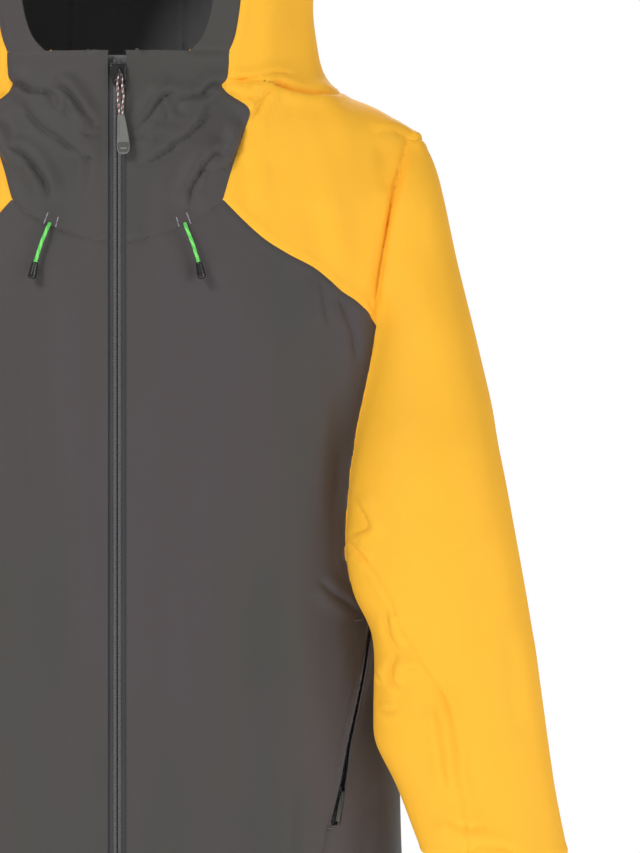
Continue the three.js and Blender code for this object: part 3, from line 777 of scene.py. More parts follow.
YOKE_FOLDS = [
    ([(108, 701), (117, 700), (131, 697), (145, 693), (159, 691), (173, 691), (184, 692)], 1.4, 2.2, 5.5),
    ([(86, 692), (95.6, 698.5), (110, 701.6), (122, 705), (134, 707), (150, 705)], 1.6, 0.8, 4.0),
    ([(88, 690), (102, 684.5), (116, 687), (126, 692.5), (133, 695.5)], 2.4, 1.0, 5.0),
    ([(104, 693.4), (110, 698), (117, 698.6), (121, 696.5), (115, 693), (104, 692)], 0.9, 1.5, 3.0),
    ([(131, 695), (121, 686.6), (115.4, 678), (111, 668), (108, 660)], 0.8, 2.6, 5.5),
    ([(239.5, 656), (236.7, 634.4), (231, 614.6), (224, 586.4), (218.4, 558), (214, 530), (211, 498)],
     3.4, 1.6, 8.0),
    ([(246, 654), (245, 630), (240, 606)], -0.8, -0.8, 3.5),
    ([(221, 652), (221.5, 630), (221, 606)], -1.3, -1.3, 8.0),
    ([(210, 657), (228, 661), (241, 655)], 1.2, 0.4, 5.0),
    ([(131, 646), (129, 608), (129, 566)], -1.2, -1.2, 11.0),
    ([(164, 600), (166, 572), (176, 530)], -1.6, -1.6, 12.0),
    ([(104, 640), (106, 610), (112, 580)], -0.9, -0.9, 8.0),
    ([(167, 538), (170, 518), (174, 494)], 1.6, 1.0, 6.0),
    ([(179, 524), (187, 508), (194, 488), (196, 462)], 1.5, 1.2, 7.0),
    ([(205, 517), (209, 511), (212, 509)], 0.8, 0.8, 4.0),
]
SLEEVE_FOLDS = [
    ([(193, 357), (206, 333.5), (203.6, 328.6), (188, 322)], 1.7, 0.2, 5.0),
    ([(207, 301), (200, 307), (194, 313)], 0.8, 1.6, 4.5),
    ([(221, 264), (223, 243), (231, 229)], 2.2, 1.2, 5.5),
    ([(229, 228), (225, 206), (236, 197)], 2.0, 1.6, 5.5),
    ([(238, 215), (246, 216)], 0.8, 0.8, 3.0),
    ([(250, 187), (258.5, 185.6), (262, 176), (265, 160), (271, 112)], 1.6, 1.4, 5.5),
    ([(262, 206), (270, 184), (275, 160), (282, 100)], 1.2, 1.4, 5.5),
    ([(211, 214), (216, 208), (221, 202)], 1.0, 1.0, 3.4),
    ([(213, 184), (221, 179), (233, 181)], 1.0, 1.0, 4.0),
    ([(287, 150), (293, 120), (304, 78)], -1.4, -1.4, 7.0),
    ([(300, 320), (301, 270), (298, 225)], -1.1, -1.1, 12.0),
    ([(246, 420), (248, 370), (252, 320)], -0.9, -0.9, 14.0),
    ([(322, 250), (326, 200), (334, 150)], -1.0, -1.0, 9.0),
    ([(262, 96), (284, 84), (306, 88)], 1.2, 1.4, 6.0),
    ([(280, 60), (300, 70), (330, 66)], 1.0, 1.2, 6.0),
]
FRONT_FOLDS = [
    ([(164, 288), (176.5, 275), (188, 266.7), (199, 258)], 1.8, 1.6, 6.0),
    ([(70, 560), (72, 480), (66, 380), (60, 300)], -1.7, -1.7, 16.0),
    ([(150, 500), (146, 420), (138, 340), (128, 260)], -1.5, -1.5, 18.0),
    ([(112, 340), (108, 240), (104, 130), (100, 40)], -1.6, -1.6, 17.0),
    ([(40, 320), (42, 220), (36, 120), (34, 30)], -1.2, -1.2, 12.0),
    ([(186, 460), (184, 400), (178, 330)], -1.2, -1.2, 9.0),
    ([(150, 130), (146, 80), (140, 20)], 1.4, 0.7, 9.0),
    ([(213, 120), (206, 70), (202, 20)], -1.6, -1.6, 8.0),
    ([(202, 245), (196.5, 205), (188, 163), (179, 116), (172, 82)], 1.3, -0.2, 5.0),
]
BACK_FOLDS = [
    ([(44, 690), (60, 640), (66, 560), (60, 470)], -1.8, -1.8, 16.0),
    ([(150, 640), (160, 560), (168, 480), (160, 400)], -2.0, -2.0, 17.0),
    ([(214, 620), (206, 560), (204, 500), (196, 450)], 2.6, 1.4, 10.0),
    ([(0, 350), (70, 338), (140, 352), (190, 376)], 1.6, 2.2, 13.0),
    ([(20, 290), (90, 300), (150, 286)], 1.4, 1.0, 11.0),
    ([(96, 270), (102, 180), (98, 80), (100, 20)], -1.8, -1.8, 18.0),
    ([(176, 250), (184, 160), (188, 60)], -1.6, -1.6, 16.0),
    ([(0, 694), (46, 690), (92, 699), (150, 696)], 1.4, 1.8, 6.0),
    ([(206, 330), (250, 312), (300, 322)], 1.6, 1.6, 8.0),
    ([(214, 270), (256, 262), (310, 284)], 1.4, 1.8, 8.0),
    ([(230, 190), (280, 176), (336, 200)], 1.6, 1.2, 9.0),
    ([(262, 110), (300, 96), (350, 112)], 1.2, 1.4, 7.0),
    ([(262, 470), (270, 420), (276, 370)], -1.4, -1.4, 11.0),
]
HOOD_FOLDS = [
    ([(20, 712), (60, 726), (104, 730), (150, 742)], 1.6, 2.2, 8.0),
    ([(52, 760), (96, 752), (146, 768)], 1.2, 1.6, 8.0),
    ([(70, 940), (100, 890), (110, 830), (104, 780)], -1.8, -1.8, 14.0),
    ([(120, 960), (140, 920), (150, 860)], 1.0, 1.0, 10.0),
    ([(10, 1000), (18, 940), (10, 860), (16, 800)], -1.2, -1.2, 13.0),
]
RIGHT_FOLD = ([(-12.6, 675), (-21, 662.6), (-23.5, 653), (-24, 642), (-23, 621), (-28, 606), (-36, 590)],
              1.0, 2.2, 5.5)
# wavelength, turn, phase and height of the slight unevenness of hung cloth
RIPPLES = [(86, 0.15, 0.4, 0.5), (64, -0.3, 2.1, 0.42), (47, 0.55, 4.0, 0.3), (118, 1.2, 1.0, 0.55),
           (38, -0.8, 5.1, 0.2), (29, 0.35, 3.3, 0.13)]


def smooth_step(value, low, high):
    t = np.clip((value - low) / (high - low), 0, 1)
    return t * t * (3 - 2 * t)


def crease_displacement(points, normals):
    """How far the cloth stands off the plain form, in mm."""
    x, y, z = points.T
    across, up = fold_place(points)
    front = smooth_step(-normals[:, 1], 0.05, 0.45)
    back = smooth_step(normals[:, 1], 0.05, 0.45)
    sleeve = smooth_step(-on_sleeve(across, y, z), -6.0, 4.0)
    total = np.zeros(len(x))
    for folds, weight in ((COLLAR_FOLDS, front), (YOKE_FOLDS, front), (SLEEVE_FOLDS, front * sleeve),
                          (FRONT_FOLDS, front * (1 - sleeve)), (BACK_FOLDS, back), (HOOD_FOLDS, back)):
        for path, left, right, width in folds:
            total += weight * fold(across, up, path, left, right, width)
    total += front * fold(x, z, *RIGHT_FOLD)
    for wavelength, turn, phase, height in RIPPLES:
        along = x * math.cos(turn) + z * 0.35 * math.sin(turn) + y * 0.6
        total += height * np.sin(2 * math.pi * along / wavelength + phase + 0.8 * np.sin(z / 71 + phase))
    calm = smooth_step(np.abs(x), ZIP_OPENING, ZIP_OPENING + 16) + (y > 0)
    calm = np.clip(calm, 0, 1) * smooth_step(z, -2, 26)
    total = np.clip(total, LIFT_LOW, LIFT_HIGH) * calm
    hem_line = np.exp(-((z - HEM_STITCH) / 1.6) ** 2) * 0.5
    return total - hem_line


def softened(height, triangles):
    """Each point's height, half of it taken from its neighbours."""
    edges = directed_edges(triangles)
    ends = edges.ravel()
    others = edges[:, ::-1].ravel()
    total = np.bincount(ends, height[others], len(height))
    count = np.maximum(np.bincount(ends, minlength=len(height)), 1)
    return 0.5 * height + 0.5 * total / count


SEAM_RISE, SEAM_DEPTH = 0.55, 0.9


def seam_relief(points, labelled):
    """Seams lie a little down, and the allowance behind them lifts the cloth to each side."""
    user = np.full(len(points), -1)
    shared = np.zeros(len(points), bool)
    for i, triangles in enumerate(labelled.values()):
        used = np.unique(triangles)
        shared[used] |= user[used] >= 0
        user[used] = i
    seams = np.flatnonzero(shared)
    tree = KDTree(len(seams))
    for i, point in enumerate(points[seams]):
        tree.insert(point, i)
    tree.balance()
    d = np.array([tree.find(point)[2] for point in points])
    allowance = SEAM_RISE * np.exp(-((d - 5) / 2.6) ** 2)
    return allowance - SEAM_DEPTH * np.exp(-(d / 1.5) ** 2)


# ---------------------------------------------------------------- cloth pieces
CLOTH = 1.5


def boundary_edges(triangles):
    """Directed edges that only one triangle has."""
    edges = directed_edges(triangles)
    keys = np.sort(edges, axis=1)
    index, count = np.unique(keys, axis=0, return_inverse=True, return_counts=True)[1:]
    return edges[count[index.reshape(-1)] == 1]


def cloth_piece(name, points, normals, triangles, materials, low=-CLOTH, high=0.0):
    """A closed layer of cloth between two offsets from the form; its inside shows the lining."""
    used, index = np.unique(triangles, return_inverse=True)
    local = index.reshape(-1, 3)
    count = len(used)
    outside = points[used] + normals[used] * high
    inside = points[used] + normals[used] * low
    rim = boundary_edges(local)
    rims = np.stack([rim[:, 1], rim[:, 0], rim[:, 0] + count, rim[:, 1] + count], 1)
    faces = [*local, *(local[:, ::-1] + count), *rims]
    kinds = np.concatenate([np.zeros(len(local)), np.ones(len(local)), np.zeros(len(rims))])
    piece = mesh_object(name, np.concatenate([outside, inside]), faces, materials, kinds)
    data = piece.data
    sharp = {tuple(sorted(e)) for e in rim.tolist()} | {tuple(sorted(e)) for e in (rim + count).tolist()}
    flags = [tuple(sorted(e.vertices)) in sharp for e in data.edges]
    attribute = data.attributes.new("sharp_edge", "BOOLEAN", "EDGE")
    attribute.data.foreach_set("value", flags)
    return piece


# ---------------------------------------------------------------- the garment
form_points, form_triangles = form_mesh()
form_points = relax(form_points, form_triangles, 2)
form_points, form_triangles = cut_folds(form_points, form_triangles)
form_points, labels = share_out(form_points, form_triangles)
every_triangle = np.concatenate(list(labels.values()))
form_normals = vertex_normals(form_points, every_triangle)
lift = softened(crease_displacement(form_points, form_normals), every_triangle)
lift += seam_relief(form_points, labels)
form_points = form_points + form_normals * lift[:, None]
form_normals = vertex_normals(form_points, every_triangle)

BODY_OF = {"hood_brim": "hood", "hood_centre": "hood", "hood_side": "hood"}
PAIRED = {"cuff": DARK, "sleeve_under": YELLOW, "sleeve_upper": YELLOW, "collar_panel": DARK,
          "front_panel": DARK, "shoulder_yoke": YELLOW, "hood_side": YELLOW, "side_panel": DARK}
SINGLE = {"hood_brim": DARK, "back_panel": DARK, "back_yoke": YELLOW, "hood_centre": YELLOW}
SLEEVE_PANELS = ("cuff", "sleeve_under", "sleeve_upper")
# points given for where a bend from the shell to each body would start and end; no bend is made from them
BLENDS = {
    "hood": ((0, 60, 726), (0, 60, 850)),
    "sleeve_left": ((205, -20, 410), (286.5, -20, 372)),
    "sleeve_right": ((-205, -20, 410), (-286.5, -20, 372)),
}


def cloth_area(points, triangles):
    """Area in square metres."""
    a, b, c = (points[triangles[:, i]] for i in range(3))
    return float(np.linalg.norm(np.cross(b - a, c - a), axis=1).sum() / 2) * MM * MM


def declare_cloth(name, triangles, fabric, body, *nodes):
    """Makes one panel of the garment and hides the CAD nodes it replaces; a hood or sleeve panel, but not a
    cuff, is left unattached, and every other panel rides on its body.
    """
    piece = cloth_piece(f"{name}_cloth", form_points, form_normals, triangles, [fabric, LINING])
    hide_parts(*nodes)
    if body in BLENDS and not name.startswith("cuff"):
        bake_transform(piece)
    else:
        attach(piece, body)


for label, fabric in SINGLE.items():
    declare_cloth(label, labels[label], fabric, BODY_OF.get(label, "shell"), label)
for label, fabric in PAIRED.items():
    middle = form_points[labels[label]].mean(axis=1)[:, 0]
    for side, sign in SIDES:
        own = labels[label][middle * sign > 0]
        name = f"{label}_{side}"
        body = f"sleeve_{side}" if label in SLEEVE_PANELS else BODY_OF.get(label, "shell")
        replaced = [name, f"sleeve_cap_{side}"] if label == "sleeve_upper" else [name]
        declare_cloth(name, own, fabric, body, *replaced)

form_tree = BVHTree.FromPolygons([tuple(p) for p in form_points], [tuple(t) for t in every_triangle.tolist()])


def front_y(x, z):
    """Where the front of the cloth is, in garment millimetres."""
    hit = form_tree.ray_cast(Vector((x, -300.0, z)), Vector((0, 1, 0)))[0]
    return hit.y


def declare(piece, body, slot_name, *nodes):
    """Says what a rigid piece rides on and the CAD nodes that it takes the place of; slot_name is not used.
    """
    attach(piece, body)
    if nodes:
        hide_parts(*nodes)


def moulding(name, outline, depths, edge, surface_used, body, slot_name, *nodes, place=None):
    """A plate with rounded edges between two depths, front and back, declared at once."""
    rings = moulded_rings(outline, *depths, edge)
    declare(sweep(name, rings, [surface_used], place=place), body, slot_name, *nodes)


def bartack(name, side, ends, proud, stitch, step, thread):
    """A dense bar of stitches, proud of the cloth; stitch is its radius, ripple and pitch."""
    radius, ripple, pitch = stitch

    def stitched(at, angle):
        return radius + ripple * np.cos(2 * math.pi * at / pitch) + 0 * angle

    line = [(side * x, front_y(side * x, z) - proud, z) for x, z in ends]
    declare(sweep(name, tube_rings(line, stitched, 10, step), [thread]), "shell", "dark_fabric")


# ---------------------------------------------------------------- cloth where sleeve and side lie together
TOUCH_LOW, TOUCH_HIGH = 200.0, 470.0
TOUCH_FROM = 150.0
TOUCH_MARGIN = 7.0                 # how far the hidden cloth goes on under the seen cloth
TOUCH_DEPTH = -2.4                 # from the form, so that it stays under the seen cloth


def section_sheet(table, around=96):
    """Points, normals and triangles of the plain surface through the sections of a table."""
    heights = np.arange(TOUCH_LOW, TOUCH_HIGH, 6.0)
    angles = np.linspace(0, 2 * np.pi, around, endpoint=False)
    centre, half, middle, front, back, power = (
        np.interp(heights, table[:, 0], column)[:, None] for column in table[:, 1:].T)
    c, s = np.cos(angles), np.sin(angles)
    x = centre + half * np.sign(c) * np.abs(c) ** (2 / power)
    depth = np.where(s < 0, middle - front, back - middle)
    y = middle + depth * np.sign(s) * np.abs(s) ** (2 / power)
    z = np.broadcast_to(heights[:, None], x.shape)
    points = np.stack([x, y, z], -1).reshape(-1, 3)
    index = np.arange(len(points)).reshape(x.shape)
    a, b = index[:-1].ravel(), np.roll(index, -1, 1)[:-1].ravel()
    d, e = index[1:].ravel(), np.roll(index, -1, 1)[1:].ravel()
    triangles = np.concatenate([np.stack([a, b, e], 1), np.stack([a, e, d], 1)])
    return points, vertex_normals(points, triangles), triangles


def hidden_cloth(name, table, other_value, fabric, side):
    """The part of one surface that lies within the other: seen only when the sleeve is lifted."""
    points, normals, triangles = section_sheet(table)
    x, y, z = points[triangles].mean(axis=1).T
    triangles = triangles[(other_value(x, y, z) < TOUCH_MARGIN) & (x > TOUCH_FROM)]
    if side < 0:
        triangles = triangles[:, ::-1]
    points, normals = mirror(side, points), mirror(side, normals)
    piece = cloth_piece(name, points, normals, triangles, [fabric, LINING], TOUCH_DEPTH - 1.2, TOUCH_DEPTH)
    return piece


for label, side in SIDES:
    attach(hidden_cloth(f"side_panel_hidden_{label}", BODY, sleeve_value, DARK, side), "shell")
    start, end = BLENDS[f"sleeve_{label}"]
    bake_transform(hidden_cloth(f"sleeve_hidden_{label}", SLEEVE, body_value, YELLOW, side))


# ---------------------------------------------------------------- front zip
TAPE_FOOT, TAPE_TOP = 16.0, 715.0
TOOTH = 2.4


def coil_rings(x0, x1, low, high, y_back, height, shift):
    """A half of the coil: every tooth is a rounded bead across the strip."""
    z = np.arange(low, high, TOOTH / 7)
    u = np.array([0, 0.06, 0.2, 0.4, 0.6, 0.8, 0.94, 1.0])
    tooth = np.clip(np.sin(2 * math.pi * (z / TOOTH + shift)) * 1.3, -0.75, 1)
    rise = np.sin(np.clip(u, 0.02, 0.98) * math.pi) ** 0.55
    y = y_back - height * rise[None, :] * (0.66 + 0.34 * tooth[:, None])
    x = np.broadcast_to(x0 + (x1 - x0) * u, y.shape)
    upper = np.stack([x, y, np.broadcast_to(z[:, None], y.shape)], 2)
    base = np.stack([np.array([[x1, y_back + 0.2, h], [x0, y_back + 0.2, h]]) for h in z])
    return np.concatenate([upper, base], 1)


for label, side in SIDES:
    heights = np.arange(TAPE_FOOT, TAPE_TOP, 8.0)
    tape_path = [(side * 5.9, -97.2 + 0.12 * math.sin(z / 23), z) for z in heights]
    tape = sweep(f"zip_tape_ribbed_{label}", ribbon_rings(tape_path, (5.6, 0, 0), 0.8, 8.0), [TAPE])
    declare(tape, "shell", "zip_tape", f"zip_tape_{label}")
    half_tooth = 0.0 if side > 0 else 0.5
    rings = coil_rings(side * 0.45, side * 3.3, TAPE_FOOT, TAPE_TOP, -97.7, 1.5, half_tooth)
    coil = sweep(f"zip_teeth_{label}", rings, [COIL])
    declare(coil, "shell", "zip_coil", f"zip_coil_{label}")

SLIDER_OUTLINE = closed_curve([(-5.6, 709.6), (-6.0, 704), (-4.6, 698.6), (-3.2, 694), (-0.8, 690.8),
                               (2.8, 690), (6.4, 690.8), (8.2, 694.2), (7.6, 698.6), (7.2, 704),
                               (7.0, 709.6), (0.8, 710.4)])
moulding("slider_plate", SLIDER_OUTLINE, (-103.4, -100.2), 1.1, BLACK, "main_slider", "black_plastic",
         "main_slider")
RIM_STEPS = 28
RIM_RADIUS = 0.85
turn = np.arange(RIM_STEPS) * 2 * math.pi / RIM_STEPS
eye = np.stack([2.8 + 4.4 * np.cos(turn), np.full(RIM_STEPS, -103.5), 694.9 + 3.4 * np.sin(turn)], 1)
inwards = np.array([0, 1, 0])
spokes = []
for centre, t in zip(eye, turn):
    out = np.array([math.cos(t), 0, math.sin(t)])
    spokes.append([centre + RIM_RADIUS * (math.cos(q) * out + math.sin(q) * inwards) for q in turn[::3]])
declare(sweep("slider_rim", spokes, [BLACK], closed=True), "main_slider", "black_plastic")
bridge_path = rounded([(2.7, -102.6, 693.6), (2.7, -106, 693), (2.7, -109.2, 694.6), (2.7, -109.9, 700),
                       (2.7, -109.2, 705.4), (2.7, -106, 707), (2.7, -102.6, 706.4)])
bridge = sweep("slider_bridge", tube_rings(bridge_path, 0.75, 12, 0.5, (1, 0, 0)), [BLACK])
declare(bridge, "main_slider", "black_plastic")
slider_middle = SLIDER_OUTLINE.mean(axis=0)
back_outline = (SLIDER_OUTLINE - slider_middle) * 0.86 + slider_middle
moulding("slider_back", back_outline, (-96.2, -94.5), 0.6, BLACK, "main_slider", "black_plastic")

pull_path = rounded([(2.2, -106.8, 666.4), (1.5, -107, 675), (0.9, -107.2, 684), (0.8, -107.6, 693),
                     (1.3, -107.3, 699.4), (2.7, -107, 701.7), (4.1, -107.2, 699.4), (4.5, -107.6, 693),
                     (5.4, -107.1, 684), (4.8, -107, 675), (4.3, -106.8, 666.4)], 5)
pull_cord = braided_cord("pull_cord_loop", pull_path, 1.0, [WHITE_YARN, PINK_YARN, BLACK_YARN, PINK_YARN],
                         around=14, step=0.36, plait=3.4)
declare(pull_cord, "main_pull", "pull_cord", "main_pull_cord")
TAB_OUTLINE = closed_curve([(0.7, 668), (0.45, 655), (0.2, 643), (0.9, 638.2), (3, 636.4), (7.6, 636.4),
                            (10.2, 639), (10.6, 644), (9, 655), (6.3, 668), (3.4, 668.6)])
moulding("pull_tab", TAB_OUTLINE, (-108.1, -105.8), 0.7, RUBBER, "main_pull", "grey_rubber",
         "main_pull_tab")
inset_outline = closed_curve([(1.1, 645.4), (1.0, 641), (2.2, 638), (5, 637.4), (8.4, 638), (9.7, 641),
                              (9.8, 645.4), (5.4, 646)])
moulding("pull_tab_inset", inset_outline, (-108.35, -107.6), 0.25, RUBBER_LOW, "main_pull", "grey_rubber")
bar_outline = closed_curve([(3, 640.5), (3, 641.4), (6, 641.6), (8.2, 641.4), (8.2, 640.5), (6, 640.3)])
moulding("pull_tab_bar", bar_outline, (-108.65, -108.1), 0.2, BAR, "main_pull", "grey_rubber")
ridge_path = rounded([(2.4, -108.15, 665), (2.2, -108.2, 656), (2.3, -108.15, 648)])
ridge = sweep("pull_tab_ridge", tube_rings(ridge_path, 0.3, 8, 1.0), [RUBBER])
declare(ridge, "main_pull", "grey_rubber")

box_outline = closed_curve([(-4.2, 16), (-4.4, 10.6), (-3.6, 5.8), (0, 5.2), (3.6, 5.8), (4.4, 10.6),
                            (4.2, 16), (0, 16.4)])
moulding("zip_foot", box_outline, (-100.6, -96), 1.0, BLACK, "shell", "black_plastic", "zip_bottom_box")

flap_path = [(0, -89.2 + 0.45 * math.sin(z / 48), z) for z in np.arange(9.0, 712.0, 5.0)]
flap = sweep("storm_flap_cloth", ribbon_rings(flap_path, (21.5, 0, 0), 1.3, 6.0), [DARK])
declare(flap, "shell", "dark_fabric", "storm_flap")
guard_path = [(0, -92.2 + 0.25 * math.sin(z / 11), z) for z in np.arange(661.5, 721.0, 3.0)]
guard = sweep("chin_guard_brushed", ribbon_rings(guard_path, (15.8, 0, 0), 1.6, 3.0), [LINING])
declare(guard, "shell", "dark_fabric", "chin_guard")


# ---------------------------------------------------------------- patches of the form
def patch(name, triangles, field, low, high, materials):
    """A layer of cloth beside part of the form, where field is below 0."""
    used = np.unique(triangles)
    value = np.full(len(form_points), 50.0)
    value[used] = field(*form_points[used].T)
    points, parts = split(form_points, triangles, value)
    parts = parts[field(*points[parts].mean(axis=1).T) < 0]
    normals = vertex_normals(points, parts)
    return cloth_piece(name, points, normals, parts, materials, low, high), cloth_area(points, parts)


BAG_LOW, BAG_HIGH = 87, 261
BAG = closed_curve([(70, 96), (118, 89), (160, BAG_LOW), (178, 165), (190, 243), (150, BAG_HIGH),
                    (80, 235)], 4)
LOOP_PATCH = closed_curve([(-111, 26), (-110, 48.5), (-82, 49.5), (-52, 48.5), (-51, 26), (-82, 25)], 3)
CUFF_TAB = closed_curve([(-47, 27), (-47, 47), (-78, 48.2), (-104, 47), (-112.5, 37), (-104, 27),
                         (-78, 26)], 3)
OUTER_SLEEVE = 340.0               # the cuff's patches lie outside this distance from the zip


def outer_field(outline):
    """Below 0 within an outline that is drawn on the outer side of the cuff."""
    return lambda x, y, z: np.maximum(outline_distance(outline, y, z), OUTER_SLEEVE - np.abs(x))


def of_side(label, side):
    """One panel's triangles on one side of the zip."""
    triangles = labels[label]
    return triangles[form_points[triangles].mean(axis=1)[:, 0] * side > 0]


for label, side in SIDES:
    own = of_side("cuff", side)
    loops = patch(f"cuff_loops_{label}", own, outer_field(LOOP_PATCH), 0.2, 1.4, [LOOP])[0]
    declare(loops, f"sleeve_{label}", "dark_fabric", f"cuff_loop_patch_{label}")
    closing = patch(f"cuff_strap_{label}", own, outer_field(CUFF_TAB), 1.8, 3.9, [BLACK_TAB])[0]
    declare(closing, f"cuff_tab_{label}", "dark_fabric", f"cuff_tab_{label}")
    bag, area = patch(f"pocket_pouch_{label}", of_side("front_panel", side),
                      lambda x, y, z: facing_view(BAG, x, z), -14, -12.6, [LINING])
    declare(bag, "shell", "dark_fabric", f"pocket_bag_{label}")


# ---------------------------------------------------------------- hand pockets
POCKET_LOW, POCKET_HIGH = np.array([178.6, -69.5, 82.0]), np.array([210.6, -34.0, 246.0])
POCKET_TACKS = [((195.5, 251.6), (202.5, 252.0)), ((172, 81), (178, 80.4))]
POCKET_LENGTH = float(np.linalg.norm(POCKET_HIGH - POCKET_LOW))
pocket_along = (POCKET_HIGH - POCKET_LOW) / POCKET_LENGTH
pocket_out = np.array([0.66, -0.75, 0.0])
pocket_out = pocket_out - pocket_along * (pocket_out @ pocket_along)
pocket_out /= np.linalg.norm(pocket_out)
pocket_across = np.cross(pocket_out, pocket_along)


def pocket_place(side):
    """Pocket space (across, out taken as -y, along) to garment millimetres."""
    def place(points):
        placed = (POCKET_LOW + points[:, :1] * pocket_across - points[:, 1:2] * pocket_out
                  + points[:, 2:] * pocket_along)
        return mirror(side, placed)
    return place


def oblong(half, low, high):
    """Outline of a strip with round ends."""
    return closed_curve([(-half, low + half), (-half, high - half), (-half * 0.6, high - half * 0.2),
                         (half * 0.6, high - half * 0.2), (half, high - half), (half, low + half),
                         (half * 0.6, low + half * 0.2), (-half * 0.6, low + half * 0.2)], 4)


for label, side in SIDES:
    place = pocket_place(side)
    strip = [(0, 4.8, z) for z in np.arange(0.5, POCKET_LENGTH, 6.0)]
    declare(sweep(f"pocket_tape_{label}", ribbon_rings(strip, (6.6, 0, 0), 1.0, 6.0), [TAPE], place=place),
            "shell", "zip_tape", f"pocket_zip_{label}")
    for half_name, edge, shift in (("a", 1, 0.0), ("b", -1, 0.5)):
        teeth = coil_rings(edge * 0.3, edge * 2.3, 2.0, POCKET_LENGTH - 2, 4.3, 1.2, shift)
        declare(sweep(f"pocket_teeth_{half_name}_{label}", teeth, [COIL], place=place), "shell", "zip_tape")
    slider = f"pocket_slider_{label}"
    pull = f"pocket_pull_{label}"
    moulding(f"pocket_runner_{label}", oblong(3.0, 23.5, 34.5), (-1.2, 3.2), 0.8, BLACK, slider,
             "black_plastic", slider, place=place)
    moulding(f"pocket_puller_{label}", oblong(2.1, 4, 30), (-3.3, -1.8), 0.5, RUBBER_LOW, pull,
             "grey_rubber", pull, place=place)
    for number, ends in enumerate(POCKET_TACKS):
        bartack(f"pocket_bartack_{number}_{label}", side, ends, 0.25, (0.62, 0.16, 0.9), 0.22, DARK_THREAD)


# ---------------------------------------------------------------- drawcord channel, locks and hem
CHANNEL_TACKS = [((48.5, 585.1), (50.8, 577.0)), ((56.9, 588.8), (60.3, 579.7))]
LOCK_OUTLINE = closed_curve([(-6.4, 571.8), (-6.8, 580), (-6.4, 588.6), (0, 589.2), (6.4, 588.6), (6.8, 580),
                             (6.4, 571.8), (0, 571.2)])
for label, side in SIDES:
    for number, ends in enumerate(CHANNEL_TACKS):
        bartack(f"channel_bartack_{number}_{label}", side, ends, 0.3, (0.5, 0.14, 0.8), 0.2, THREAD)
    moulding(f"cord_lock_{label}", LOCK_OUTLINE + np.array([side * CORD_ROUTE[0][0], 0]), (-88.4, -80.8), 1.6,
             BLACK, "shell", "black_plastic", f"hood_cord_lock_{label}")

HEM_HEIGHT, HEM_INSET = 14.0, 9.0


def hem_point(angle):
    """A place on the hem cord, which runs a little inside the hem."""
    half, front, back, power = BODY[1, [2, 4, 5, 6]]
    c, s = math.cos(angle), math.sin(angle)
    deep = back - HEM_INSET if s > 0 else -front - HEM_INSET
    return ((half - HEM_INSET) * math.copysign(abs(c) ** (2 / power), c),
            deep * math.copysign(abs(s) ** (2 / power), s), HEM_HEIGHT)


hem_route = [hem_point(a) for a in np.linspace(-0.84, math.pi + 0.84, 120)]
hem_cord = braided_cord("hem_elastic", hem_route, 1.5, [ELASTIC, BLACK_YARN], around=10, step=1.2, plait=7.0,
                        reference=(0, 0, 1))
declare(hem_cord, "shell", "hem_cord", "hem_cord")


def ribbed(at, angle):
    """Radius of a cord lock: grip ribs round a barrel with rounded rims."""
    barrel = np.interp(at, [0, 0.8, 2, 11, 12.4, 12.8], [4.4, 5.8, 6.1, 6.1, 5.7, 4.8])
    return barrel + 0.18 * np.cos(12 * angle)


def crowned(at, angle):
    """Radius of a cord lock's button."""
    return np.interp(at, [0, 0.6, 10.6, 11.5, 12], [3.4, 3.9, 3.9, 3.2, 1.6]) + 0 * angle


for label, side in SIDES:
    low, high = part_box(f"hem_lock_{label}")
    x, y, _ = (np.array((low + high) / 2) - OFFSET) / MM
    lock = sweep(f"toggle_{label}", tube_rings([(x, y, 7.6), (x, y, 20.4)], ribbed, 48, 0.6), [BLACK])
    declare(lock, "shell", "black_plastic", f"hem_lock_{label}")
    rings = tube_rings([(x, y, 16.2), (x, y, 28.2)], crowned, 28, 0.5)
    button = sweep(f"toggle_button_{label}", rings, [BLACK])
    declare(button, f"hem_button_{label}", "black_plastic", f"hem_button_{label}")

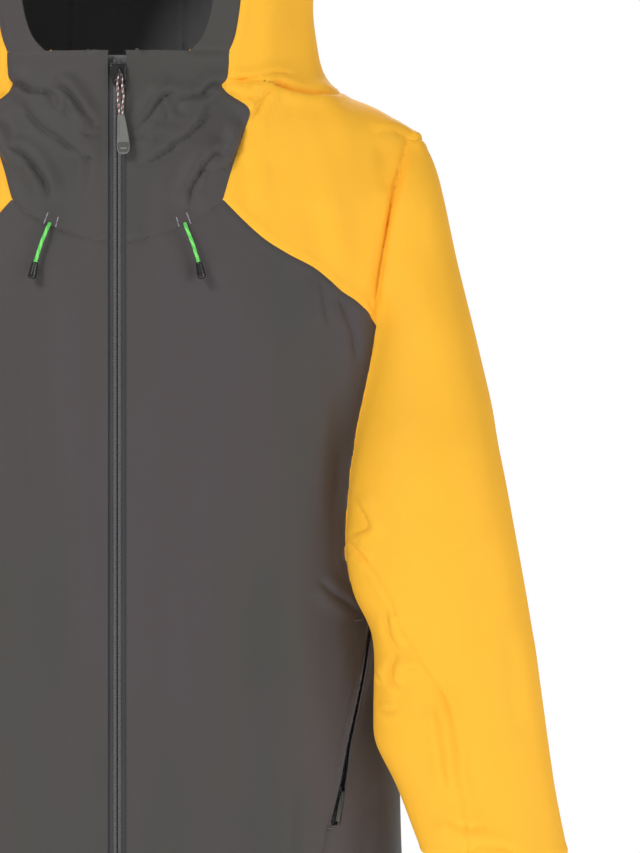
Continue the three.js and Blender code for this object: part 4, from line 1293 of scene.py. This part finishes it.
loop_path = rounded([(-19, 78.2, 664.5), (-19, 78, 676), (-17.6, 78, 680.4), (-12, 78, 681), (0, 78, 681.1),
                     (12, 78, 681), (17.6, 78, 680.4), (19, 78, 676), (19, 78.2, 664.5)], 5)
hang = sweep("hang_loop_tape", ribbon_rings(loop_path, (0, 4, 0), 1.9, 1.0), [TAPE])
declare(hang, "shell", "zip_tape", "hang_loop")


# ---------------------------------------------------------------- stage
SKY = 0.27
# name, place from the middle of the garment in metres, size and power
LIGHTS = (("key", (-1.9, -2.4, 2.0), 1.1, 64), ("fill", (2.6, -1.7, 0.5), 1.6, 27),
          ("back", (0.4, 2.4, 1.6), 1.5, 30))
FLOOR_HEIGHT = -420.0
FLOOR_SIZE = 6


def make_stage():
    """A pale floor, soft lights, and a world that is white behind the garment and dimmer as a light."""
    bpy.ops.mesh.primitive_plane_add(size=FLOOR_SIZE, location=(0, 0, row((0, 0, FLOOR_HEIGHT))[2]))
    floor = bpy.context.object
    floor.name = "floor"
    floor.data.materials.append(surface("floor_white", (245, 245, 245), 0.9, Emission_Color=(1, 1, 1, 1),
                                       Emission_Strength=0.7))
    world = bpy.data.worlds.new("studio")
    bpy.context.scene.world = world
    world.use_nodes = True
    nodes, links = world.node_tree.nodes, world.node_tree.links
    seen = nodes["Background"]
    lit = nodes.new("ShaderNodeBackground")
    for background, strength in ((seen, 1.0), (lit, SKY)):
        background.inputs["Color"].default_value = (1, 1, 1, 1)
        background.inputs["Strength"].default_value = strength
    ray = nodes.new("ShaderNodeLightPath")
    mix = nodes.new("ShaderNodeMixShader")
    links.new(ray.outputs["Is Camera Ray"], mix.inputs[0])
    links.new(lit.outputs[0], mix.inputs[1])
    links.new(seen.outputs[0], mix.inputs[2])
    links.new(mix.outputs[0], nodes["World Output"].inputs["Surface"])
    bpy.context.scene.view_settings.view_transform = "Standard"
    centre = row((100, -60, 400))
    for name, place, size, power in LIGHTS:
        data = bpy.data.lights.new(name, "AREA")
        data.size = size
        data.energy = power
        light = new_object(name, data)
        light.location = Vector(centre) + Vector(place)
        light.rotation_euler = (-Vector(place)).to_track_quat("-Z", "Y").to_euler()


make_stage()
